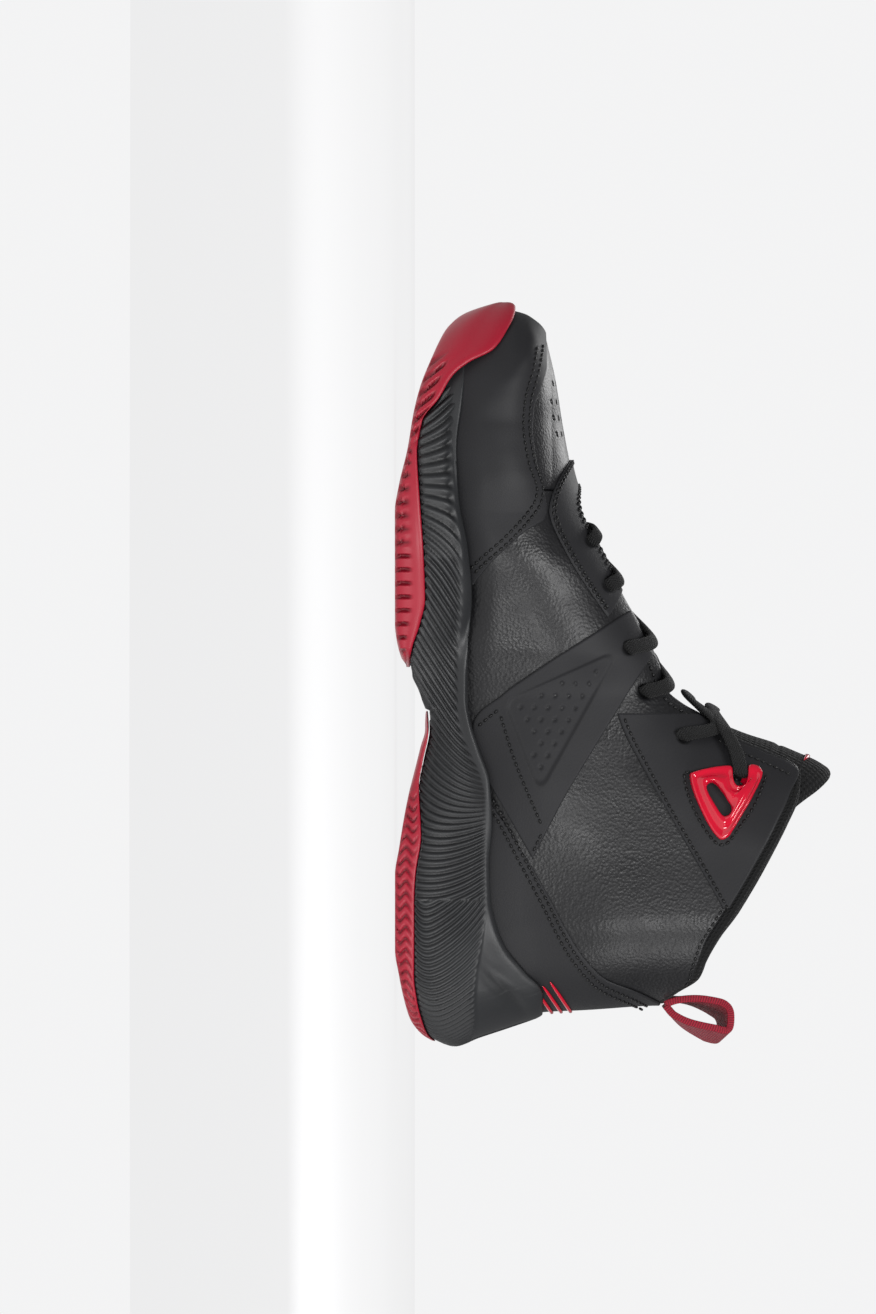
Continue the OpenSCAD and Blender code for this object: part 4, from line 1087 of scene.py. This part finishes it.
def strap(side):
    t, r = spaced(150, 80), spaced(80, 50)
    share = np.linspace(0, 1, 600)
    a, b = (at_length(t, share, by_length(line(edge), 600)) for edge in (STRAP_LOWER, STRAP_UPPER))
    q = mix(a[:, None, :], b[:, None, :], r[None, :, None])
    s, z = q[..., 0], q[..., 1]
    p = upper_point(s, z, side)
    lift, shade = lace_holes(s, z, [EYELETS[2]])
    if side == MEDIAL:
        edge = in_triangle(s, z, TRIANGLE, TRIANGLE_ROUND)
        dots = lattice(5.5)
        dots = dots[in_triangle(dots[:, 0], dots[:, 1], TRIANGLE, TRIANGLE_ROUND) < -3.2]
        pits = dents(s, z, dots, 0.95)
        lift = lift - 0.55 * soft(-edge, -0.4, 1.0) - 0.6 * pits
        shade = shade * (1 - 0.35 * pits) * (1 - 0.25 * np.exp(-(edge / 0.6) ** 2))
    node = f"strap_{side_name(side)}"
    sheet(f"{node}_overlay", p, 0.12, SMOOTH, [node], lift, shade)


def lattice(pitch):
    """Rows of points that lean with the strap."""
    along, over = np.array([0.86, 0.51]), np.array([-0.51, 0.86])
    centre = np.array([132.0, 64.0])
    return np.array([centre + along * pitch * (i + 0.5 * (j % 2)) + over * pitch * 0.87 * j
                     for i in range(-8, 9) for j in range(-8, 9)])


def ankle_panel(side):
    s_line = np.concatenate([np.linspace(56.5, 96, 50), np.linspace(96.6, 134.6, 96)])
    r = spaced(70, 36)
    z = mix(ANKLE_SEAM(s_line)[:, None], leather_top(s_line)[:, None], r[None, :])
    p = upper_point(wide(s_line, len(r)), z, side)
    holes, shade = lace_holes(p[..., 1] + HALF_LENGTH, p[..., 2], EYELETS[4:])
    node = f"ankle_panel_{side_name(side)}"
    sheet(f"{node}_leather", p, 0, SMOOTH, [node], 0.08 * noise(p, 30, 41) + holes, shade)


def heel_overlay():
    p = heel_grid(both_sides(91, 0.2, 150), lambda s: low_edge(s) + 2, HEEL_SEAM, spaced(60, 60))
    sheet("heel_overlay_leather", p, 0, SMOOTH, ["heel_overlay"], 0.08 * noise(p, 34, 51))


def heel_stripes():
    """Three raised lines across the heel, joined as one piece of three tubes."""
    verts, faces = [], []
    n, around = 70, 10
    ring = np.linspace(0, 2 * np.pi, around, endpoint=False)
    taper = np.sqrt(np.clip(1 - (np.abs(np.linspace(-1, 1, n))) ** 6, 0.02, 1))[:, None, None]
    up = np.array([0, 0, 1.0])
    for k in range(3):
        reach = 13.5 - 1.5 * k
        e = np.linspace(-reach, reach, n)
        z = 70.5 - 3.8 * k - 0.62 * np.abs(e) + 0.35 * np.cos(e / reach * np.pi / 2)
        e = np.where(np.abs(e) < 0.05, 0.05, e)
        turn = np.minimum(1, np.abs(e) / 14)
        out = unit(np.stack([np.sign(e) * turn, -1 + turn * 0.6, 0 * e], 1))
        p = (heel_point(e, z)[:, None] + out[:, None] * (0.35 + 0.6 * np.cos(ring)[None, :, None] * taper)
             + up * (0.75 * np.sin(ring)[None, :, None] * taper))
        base = len(verts)
        verts += p.reshape(-1, 3).tolist()
        faces += quads(n, around, base, close_j=True).tolist() + caps(n, around, base)
    ob = make("heel_stripe_lines", verts, faces, GLOSS)
    fix_normals(ob)
    place(ob, "shoe", ["heel_stripes"])


for side in (MEDIAL, LATERAL):
    quarter(side)
    eyestay(side)
    strap(side)
    ankle_panel(side)
vamp()
mudguard()
throat()
heel_overlay()
heel_stripes()

# ---- Padded collar and lining ----


def collar():
    """Mesh collar: it stands a little above the leather, rolls over and is padded inside."""
    e = both_sides(97, 0.3, 150)
    s = np.abs(e) + 14
    top = COLLAR(s)[:, None]
    over = mix(0.5, 1, 1 - soft(s, 100, 111))[:, None]
    # Each point is [height above the collar line, depth below the outer face]
    prof = line([
        [-9, 2.4], [-5, 2.2], [-2.2, 1.2], [0.6, 0.9], [2.0, 1.7], [2.9, 3.9], [3.3, 6.2], [2.6, 8.6],
        [0.5, 10.6], [-4, 11.6], [-11, 12.0], [-20, 11.8], [-30, 10.8], [-40, 10.0], [-48, 9.8]])
    h, depth = prof(np.linspace(0, 1, 60)).T
    z = np.where(h > -20, top + h * np.where(h > 0, over, 1), 0)
    # From 20 mm below the collar line the inside runs down to one level all round
    inner = h <= -20
    z[:, inner] = mix(top - 20, 72.0, ((h[inner] + 20) / (-48 + 20))[None, :])
    ee, zz = wide(e, 60), np.minimum(z, 176)
    p = heel_point(ee, zz)
    puff = 0.5 * noise(p, 26, 61) * soft(depth, 9, 11)[None, :]
    outer = p - grid_out(ee, zz) * (depth[None, :] + puff)[..., None]
    layer_piece("collar_padding", outer, outer - grid_normals(outer) * 1.2, MESH, "shoe",
                ["collar_lining", "collar_foam"], "lining_mesh", padded=True)


def grid_out(e, z):
    """Direction out of the upper at the points of a grid round the heel."""
    a = heel_point(e + 0.5, z) - heel_point(e - 0.5, z)
    b = heel_point(e, z + 0.5) - heel_point(e, z - 0.5)
    n = unit(np.cross(a, b))
    away = heel_point(e, z) - np.array([0, -85, 0])
    away[..., 2] = 0
    flip = np.sign((n * away).sum(-1, keepdims=True))
    return n * np.where(flip == 0, 1, flip)


def inner_lining():
    e = both_sides(196, 0.3, 120)
    p = heel_grid(e, low_edge, lambda s: np.minimum(78, CREST(s) - 22), np.linspace(0, 1, 30))
    n = grid_out(wide(e, 30), p[..., 2])
    layer_piece("quarter_lining_mesh", p - n * 6.2, p - n * 7.2, MESH, "shoe", ["quarter_lining"],
                "lining_mesh")


collar()
inner_lining()

# ---- Tongue ----


def tongue_point(t, v, depth):
    """Point of the tongue: t from root to top, v from side to side, depth behind its face."""
    t, v, depth = np.broadcast_arrays(np.asarray(t, float), np.asarray(v, float), np.asarray(depth, float))
    c = TONGUE_FRONT(t)
    d = unit(TONGUE_FRONT(np.minimum(t + 0.02, 1)) - TONGUE_FRONT(np.maximum(t - 0.02, 0)))
    back = np.stack([d[..., 1], -d[..., 0]], -1)
    sag = TONGUE_BEND(t) * np.abs(v) ** 2.2 + depth
    p = c - back * sag[..., None]
    x = UPPER_MID(c[..., 0]) + v * TONGUE_HALF(t) * (1 - depth / 60)
    return np.stack([x, p[..., 0] - HALF_LENGTH, p[..., 1]], -1)


def drooped(t, v):
    """The top corners of the tongue hang lower than its middle."""
    return t - 0.07 * np.abs(v) ** 3 * soft(t, 0.72, 1)


def fall(x, start, reach):
    """1 up to start, then rounding down to 0 over reach."""
    return np.sqrt(np.clip(1 - np.clip((x - start) / reach, 0, 1) ** 2, 0, 1))


def tongue_cover():
    rows = np.concatenate([np.linspace(0, 0.94, 150), np.linspace(0.945, 1, 16)])
    t = rows[:, None]
    close = [0.93, 0.96, 0.985, 1]
    v = np.concatenate([np.negative(close[::-1]), np.linspace(-0.9, 0.9, 60), close])[None, :]
    thick = 1.1 + TONGUE_THICK(t)
    full = fall(np.abs(v), 0.88, 0.12) * fall(t, 0.965, 0.035)
    seam = 0.5 * np.exp(-((t - 0.8) / 0.006) ** 2)
    t = drooped(t, v)
    swell = 0.25 * noise(tongue_point(t, v, 0), 24, 71)
    front = thick * 0.5 * (1 - full) + seam * full - swell * full
    back = thick * (0.5 + 0.5 * full)
    layer_piece("tongue_cover_padded", tongue_point(t, v, front), tongue_point(t, v, back), TONGUE_MESH,
                "tongue", ["tongue_cover", "tongue_foam"], "smooth_leather", padded=True)


def tongue_lining():
    """Red lining behind, thick and soft at the top."""
    t = np.linspace(0.05, 0.965, 150)[:, None]
    v = np.linspace(-0.84, 0.84, 70)[None, :]
    plump = 1.5 + 2.0 * soft(t, 0.72, 0.88)
    round_v, round_t = fall(np.abs(v), 0.7, 0.14), fall(t, 0.905, 0.06)
    start = (1.1 + TONGUE_THICK(t)) * 0.92
    t = drooped(t, v)
    end = start + 0.15 + plump * round_v * round_t * (1 + 0.12 * noise(tongue_point(t, v, 3), 15, 72))
    layer_piece("tongue_lining_knit", tongue_point(t, v, end), tongue_point(t, v, start), RED_KNIT,
                "tongue", ["tongue_lining"], "red_fabric", padded=True)


def tongue_webbing():
    """Ribbed webbing loop across the middle."""
    t = np.linspace(0.385, 0.45, 24)[:, None]
    v = np.linspace(-0.27, 0.27, 22)[None, :]
    rise = 1.5 * np.sin(np.pi * (t - 0.385) / 0.065) ** 0.6
    layer_piece("tongue_webbing_loop", tongue_point(t, v, -0.35 - 0.8 - 0.5 * rise),
                tongue_point(t, v, -0.1 - 0.4 * rise), BLACK_WEB,
                "tongue", ["tongue_webbing"], "black_webbing")


def tongue_mark():
    """Thin raised arc near the top."""
    v = np.linspace(-0.42, 0.42, 60)[None, :]
    lift = np.sin(np.pi * (v + 0.42) / 0.84)
    t = 0.872 + np.linspace(-0.007, 0.007, 5)[:, None] * np.sqrt(lift) + 0.012 * np.cos(v * 3.2)
    hump = np.cos(np.linspace(-1, 1, 5) * 1.2)[:, None]
    layer_piece("tongue_mark_line", tongue_point(t, v, -0.35 - 0.45 * hump),
                tongue_point(t, v, -0.05 * hump), GLOSS, "tongue", ["tongue_mark"], "bright_red")


tongue_cover()
tongue_lining()
tongue_webbing()
tongue_mark()

# ---- Lace ----

# Where each lace row crosses the tongue, and how far it stands off it
ROW_T = [0.08, 0.135, 0.25, 0.365, 0.54, 0.62]
ROW_SLACK = [2.6, 2.6, 2.8, 3.2, 5.2, 5.4]
UNDER = -6.3
LACE_HALF_WIDTH, LACE_HALF_THICK = 3.0, 0.95
LACE_STATIONS = 1300


def eyelet_at(i, side, height):
    s, z = EYELETS[i]
    return on_upper(s, z, side, height)


def over_tongue(i, v):
    t = ROW_T[i]
    d = unit(TONGUE_FRONT(t + 0.02) - TONGUE_FRONT(t - 0.02))
    return tongue_point(t, v, 0) + np.array([0, d[1], -d[0]]) * ROW_SLACK[i]


def over_edge(i, side):
    s = EYELETS[i][0] + 3
    return on_upper(s, COLLAR(s) - 0.6, side, 2.2)


def lace_route():
    """Points of the lace in order, the same as the CAD's route."""
    out = []
    heights = (UNDER, -2, 2)
    for i in range(5):
        side = LATERAL if i % 2 == 0 else MEDIAL
        out += [eyelet_at(i, side, h) for h in heights] + [over_edge(i, side)]
        out += [over_tongue(i, side * v) for v in (0.4, 0, -0.4)] + [over_edge(i, -side)]
        out += [eyelet_at(i, -side, h) for h in heights[::-1]]
    # The last row comes up through its own holes, and crosses the ankle flaps
    flap = [(116, 136.8, 2.7), (121.5, 134, 3.4), (126.5, 131, 3.4)]
    out += [on_upper(118, 127, MEDIAL, UNDER)] + [eyelet_at(5, MEDIAL, h) for h in heights]
    out += [on_upper(s, z, MEDIAL, h) for s, z, h in flap]
    out += [over_tongue(5, v) for v in (-0.4, 0, 0.4)]
    out += [on_upper(s, z, LATERAL, h) for s, z, h in flap[::-1]]
    return np.array(out + [eyelet_at(5, LATERAL, h) for h in heights[::-1]])


def lace_normals(route):
    """Which way the flat of the lace faces at each point of its route."""
    s, z = route[:, 1] + HALF_LENGTH, route[:, 2]
    side = np.where(route[:, 0] < UPPER_MID(s), MEDIAL, LATERAL)
    out = out_of(s, np.minimum(z, CREST(s) - 1.5), side)
    last = len(CREST_S) - 1
    slope = np.gradient(CREST(CREST_S), CREST_S)[np.clip(np.searchsorted(CREST_S, s), 0, last)]
    front = unit(np.stack([0 * s, -slope, 0 * s + 1], 1))
    centre = np.clip(1 - np.abs(route[:, 0] - UPPER_MID(s)) / 20, 0, 1)[:, None]
    n = unit(mix(out, front, np.sqrt(centre)))
    for k in range(len(route)):
        if is_dive(route, out, k):
            inward = route[k] * [1, 0, 0] - [UPPER_MID(s[k]), 0, 0]
            n[k] = unit(inward + np.array([0, -12.0, -6.0]))
    return n


def is_dive(route, out, k):
    """True where the lace runs straight through the leather."""
    near = [route[j] - route[k] for j in (k - 1, k + 1) if 0 <= j < len(route)]
    return all(abs(unit(d) @ out[k]) > 0.6 for d in near)


def lace():
    """Flat band swept along the route, with its width square to the smoothed normals."""
    route = lace_route()
    pts = by_length(line(route), LACE_STATIONS)
    t = np.linspace(0, 1, 2600)
    run = lengths(line(route)(t))
    even = np.linspace(0, run[-1], LACE_STATIONS)
    normals = unit(at_length(even, run, line(lace_normals(route))(t)))
    d = unit(tangents(pts))
    u = np.cross(normals, d)
    for _ in range(6):
        u = unit(u)
        u[1:-1] = (u[:-2] + 2 * u[1:-1] + u[2:]) / 4
    u = unit(u - d * (u * d).sum(1, keepdims=True))
    for k in range(1, LACE_STATIONS):
        if u[k] @ u[k - 1] < 0:
            u[k] = -u[k]
    w = np.cross(d, u)
    around = 20
    angle = np.linspace(0, 2 * np.pi, around, endpoint=False)
    # A power below 1 squares the round section a little
    cu, cw = (np.sign(wave) * np.abs(wave) ** 0.75 for wave in (np.cos(angle), np.sin(angle)))
    p = (pts[:, None] + u[:, None] * LACE_HALF_WIDTH * cu[None, :, None]
         + w[:, None] * LACE_HALF_THICK * cw[None, :, None])
    faces = quads(LACE_STATIONS, around, close_j=True).tolist() + caps(LACE_STATIONS, around)
    breadth = LACE_HALF_WIDTH * cu[None, :] * np.ones((LACE_STATIONS, 1))
    uv = np.stack([wide(lengths(pts), around), breadth], -1).reshape(-1, 2)
    ob = make("lace_band", p.reshape(-1, 3), faces, LACE, uv=uv)
    fix_normals(ob)
    place(ob, "shoe", ["lace"])


lace()

# ---- Ankle loops and pull tab ----


def ankle_loop(side):
    """Moulded loop: rings from its slot to its outline, at the heights of a profile."""
    n = 250
    t = np.linspace(0, 1, n, endpoint=False)
    slot, middle, outline = (line(p, closed=True)(t) for p in (LOOP_SLOT, LOOP_MIDDLE, LOOP_OUTLINE))
    # Each point is [share of the way from the slot to the outline, height]
    prof = line([
        (0, 0.5), (0, 1.9), (0.04, 2.7), (0.14, 3.3), (0.28, 3.3), (0.42, 2.7), (0.56, 2.2), (0.7, 2.5),
        (0.82, 3.0), (0.9, 3.0), (0.97, 2.5), (1.0, 1.7), (1.0, 0.5)])
    rings = []
    for r, h in by_length(prof, 34):
        q = mix(slot, middle, r * 2) if r < 0.5 else mix(middle, outline, r * 2 - 1)
        rings.append(on_upper(q[:, 0], q[:, 1], np.full(n, side), np.full(n, h)))
    faces = quads(len(rings), n, close_i=True, close_j=True).tolist()
    node = f"ankle_loop_{side_name(side)}"
    ob = make(f"{node}_moulded", np.array(rings).reshape(-1, 3), faces, GLOSS)
    fix_normals(ob)
    place(ob, "shoe", [node])


def pull_tab():
    """Webbing loop: the middle line of the CAD's loop, swept across its width."""
    width = 22.0
    path = by_length(line(TAB_OUTER), 130)
    tangent = np.gradient(path, axis=0)
    n = unit(np.stack([tangent[:, 1], -tangent[:, 0]], 1))
    n = n * np.sign(((np.array([11.5, 122.0]) - path) * n).sum(1, keepdims=True))
    x = spaced(26, 22, edge=(0, 0.1, 0.3, 0.6))
    edge = 0.5 * edge_drop(np.minimum(x, 1 - x) * width, 0.6)
    # The free end of the loop is turned a little
    away = ramp(np.linalg.norm(path - path[0], axis=1), 4, 22)
    twist = -0.24 * (x[None, :] - 0.5) * width * away[:, None]
    faces = []
    for depth in (edge - 0.5, 2.4 - edge):
        q = path[:, None, :] + n[:, None, :] * depth[None, :, None]
        across_x = np.broadcast_to(-15 + x[None, :] * width, twist.shape)
        faces.append(np.stack([across_x, q[..., 0] - HALF_LENGTH + twist, q[..., 1] + 0.7 * twist], -1))
    layer_piece("pull_tab_webbing", *faces, RED_WEB, "pull_tab", ["pull_tab"], "red_webbing")


ankle_loop(MEDIAL)
ankle_loop(LATERAL)
pull_tab()

# ---- Stitching ----


STITCH, STITCH_GAP = 2.0, 0.75
STITCH_HALF_WIDTH, STITCH_HEIGHT = 0.55, 0.5


def stitches(name, runs):
    """Rows of raised stitches. Each run is points on the surface and its normals."""
    cap = []
    for a in (-1, -0.8, -0.35, 0.35, 0.8, 1):
        r = math.sqrt(max(0.0, 1 - abs(a) ** 3))
        cap.append((a, max(r, 0.12)))
    ring = np.linspace(0, 2 * np.pi, 6, endpoint=False)
    verts, faces = [], []
    for pts, nrm in runs:
        run = lengths(pts)
        for k in range(int(run[-1] / (STITCH + STITCH_GAP))):
            mid = (k + 0.5) * (STITCH + STITCH_GAP)
            a, b = (at_length(mid + x, run, pts) for x in (-STITCH / 2, STITCH / 2))
            n = unit(at_length(mid, run, nrm))
            d = unit(b - a)
            side = np.cross(n, d)
            base = len(verts)
            for u, r in cap:
                c = mix(a, b, (u + 1) / 2) + n * (STITCH_HEIGHT * 0.35 * (1 - u * u))
                for q in ring:
                    verts.append(c + side * (STITCH_HALF_WIDTH * r * math.cos(q))
                                 + n * (STITCH_HEIGHT * r * math.sin(q)))
            faces += quads(6, 6, base, close_j=True).tolist() + caps(6, 6, base)
    ob = make(name, np.array(verts), faces, THREAD)
    fix_normals(ob)
    return place(ob, "shoe", [])


def surface_run(pts, side, height, n=400):
    """Evenly spaced points over the upper, from a line of [s, z]."""
    q = by_length(line(pts), n)
    nrm = out_of(q[:, 0], q[:, 1], np.full(n, side))
    return upper_point(q[:, 0], q[:, 1], side) + nrm * height, nrm


def offset_line(pts, d, n=200):
    """Line moved sideways in the s, z plane."""
    q = by_length(line(pts), n)
    t = unit(np.gradient(q, axis=0))
    return q + np.stack([-t[:, 1], t[:, 0]], 1) * d


def sew():
    """All seams. Each row is at a distance from its seam, and at a height over the upper."""
    runs = []
    for side in (MEDIAL, LATERAL):
        for height, start, end, n, rows in ((MUDGUARD_SEAM, 189, 283, 60, (-1.8, -4.2)),
                                            (HEEL_SEAM, 17.5, 104, 60, (-1.8, -4.2)),
                                            (ANKLE_SEAM, 55, 134, 50, (1.7,))):
            s = np.linspace(start, end, n)
            seam = np.stack([s, height(s)], 1)
            runs += [surface_run(offset_line(seam, d), side, 0.05) for d in rows]
        strap_edge = ([[79, 55.2], [88, 59.5]], [[90, 58.5], [114, 48.5], [136, 41.5]],
                      [[136, 41.5], [129, 33]])
        for pts in strap_edge:
            runs.append(surface_run(pts, side, 0.15, 60))
        s = np.linspace(24, 108, 80)
        runs.append(surface_run(np.stack([s, leather_top(s) - 2.6], 1), side, -0.95))
        flap_edge = [[109.5, 159], [113, 152], [117, 143], [121, 134], [125.5, 127.5]]
        runs.append(surface_run(flap_edge, side, 0.05, 120))
        runs.append(surface_run([[134, 119], [139, 110.5], [146, 106], [158, 101.5]], side, -0.95, 120))
        # Round the ankle loop, except where it would run over the collar
        ring = line(LOOP_OUTLINE, closed=True)(np.linspace(0, 1, 200))
        q = ring + unit(ring - ring.mean(0)) * 2.2
        keep = q[:, 0] < 111
        first = int(np.argmax(~keep))
        order = np.roll(np.arange(len(q)), -first)
        q = q[order][keep[order]]
        nrm = out_of(q[:, 0], q[:, 1], np.full(len(q), side))
        runs.append((upper_point(q[:, 0], q[:, 1], side) + nrm * 0.05, nrm))
    inner, outer = line(mirrored(THROAT_INNER)), line(mirrored(THROAT_OUTER))
    t = np.linspace(0.01, 0.99, 500)
    for f in (0.07, 0.15, 0.88, 0.95):
        q = mix(inner(t), outer(t), f)
        a = crest_point(q[:, 0], q[:, 1])
        fwd = crest_point(q[:, 0] + 0.5, q[:, 1]) - crest_point(q[:, 0] - 0.5, q[:, 1])
        flank = crest_point(q[:, 0], q[:, 1] + 0.8) - crest_point(q[:, 0], q[:, 1] - 0.8)
        nrm = unit(np.cross(flank, fwd))
        nrm = nrm * np.sign(nrm[:, 2:3])
        runs.append((a + nrm * 0.1, nrm))
    stitches("upper_stitching", runs)


sew()

# ---- CAD pieces that stay inside the shoe ----

for node, mat in (("shank", PLATE), ("strobel_board", BOARD), ("heel_counter", BOARD), ("toe_puff", BOARD),
                  ("vamp_lining", MESH)):
    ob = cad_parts[node]
    if not ob.material_slots:
        ob.data.materials.append(mat)
    for slot in ob.material_slots:
        slot.material = mat

# ---- Floor, light and camera ----


FLOOR_GLOW = 0.83
FLOOR_DROP = 0.0002


def floor():
    """Pale round floor that glows, so that it looks white round a soft shadow."""
    n, radii = 96, [0.3, 0.8, 1.6, 2.6]
    turn = [2 * math.pi * k / n for k in range(n)]
    verts = [(0, 0, -FLOOR_DROP)]
    verts += [(r * math.cos(a), r * math.sin(a), -FLOOR_DROP) for r in radii for a in turn]
    faces = [[0, 1 + k, 1 + (k + 1) % n] for k in range(n)]
    for a in range(1, 1 + n * (len(radii) - 1), n):
        faces += [[a + k, a + n + k, a + n + (k + 1) % n, a + (k + 1) % n] for k in range(n)]
    me = bpy.data.meshes.new("floor")
    me.from_pydata(verts, [], faces)
    k = Look("pale_floor", (0.06, 0.06, 0.0605), 0.95, 0.0)
    cloud = k.noise(3, 2)
    k.paint(k.contrast(cloud), (0.058, 0.058, 0.0585), (0.062, 0.062, 0.0625))
    k.b.inputs["Emission Color"].default_value = (1, 1, 1.005, 1)
    k.b.inputs["Emission Strength"].default_value = FLOOR_GLOW
    me.materials.append(k.m)
    ob = bpy.data.objects.new("floor", me)
    bpy.context.scene.collection.objects.link(ob)


def light(name, where, aim, size, power):
    """Round lamp that faces a point."""
    data = bpy.data.lights.new(name, "AREA")
    data.shape = "DISK"
    data.size = size
    data.energy = power
    ob = bpy.data.objects.new(name, data)
    bpy.context.scene.collection.objects.link(ob)
    ob.location = where
    d = np.array(aim, float) - np.array(where, float)
    z = -unit(d)
    x = unit(np.cross([0, 0, 1], z)) if abs(z[2]) < 0.98 else np.array([1.0, 0, 0])
    y = np.cross(z, x)
    ob.matrix_world = Matrix(((x[0], y[0], z[0], where[0]), (x[1], y[1], z[1], where[1]),
                              (x[2], y[2], z[2], where[2]), (0, 0, 0, 1)))


floor()
light("key", (-1.3, 0.1, 1.5), (0, 0, 0.08), 0.8, 21)
light("front", (-2.1, -0.3, 0.3), (0, -0.05, 0.08), 0.5, 13)
light("fill", (-1.2, -1.2, 0.35), (0, 0, 0.08), 0.7, 8)
light("back", (1.4, 0.5, 1.1), (0, 0, 0.08), 0.9, 7)

scene = bpy.context.scene
world = bpy.data.worlds.new("studio")
scene.world = world
world.use_nodes = True
tree = world.node_tree
plain = tree.nodes["Background"]
plain.inputs[0].default_value = (0.22, 0.22, 0.223, 1)
seen = tree.nodes.new("ShaderNodeBackground")
seen.inputs[0].default_value = (0.9, 0.9, 0.905, 1)
pick = tree.nodes.new("ShaderNodeMixShader")
tree.links.new(tree.nodes.new("ShaderNodeLightPath").outputs["Is Camera Ray"], pick.inputs[0])
tree.links.new(plain.outputs[0], pick.inputs[1])
tree.links.new(seen.outputs[0], pick.inputs[2])
tree.links.new(pick.outputs[0], tree.nodes["World Output"].inputs[0])
scene.view_settings.view_transform = "Standard"

# Camera in line with the shoe's inner side, and turned so that the toe points up as in the photo
FRAME_HEIGHT = 0.529
DISTANCE = 3.0
camera = bpy.data.cameras.new("camera")
camera.sensor_width = 36
camera.lens = 36 * DISTANCE / FRAME_HEIGHT
camera.clip_start, camera.clip_end = 0.05, 20
cam = bpy.data.objects.new("camera", camera)
scene.collection.objects.link(cam)
cam.matrix_world = Matrix(((0, 0, -1, -0.02 - DISTANCE), (0, 1, 0, 0.007), (1, 0, 0, 0.0172), (0, 0, 0, 1)))
scene.camera = cam
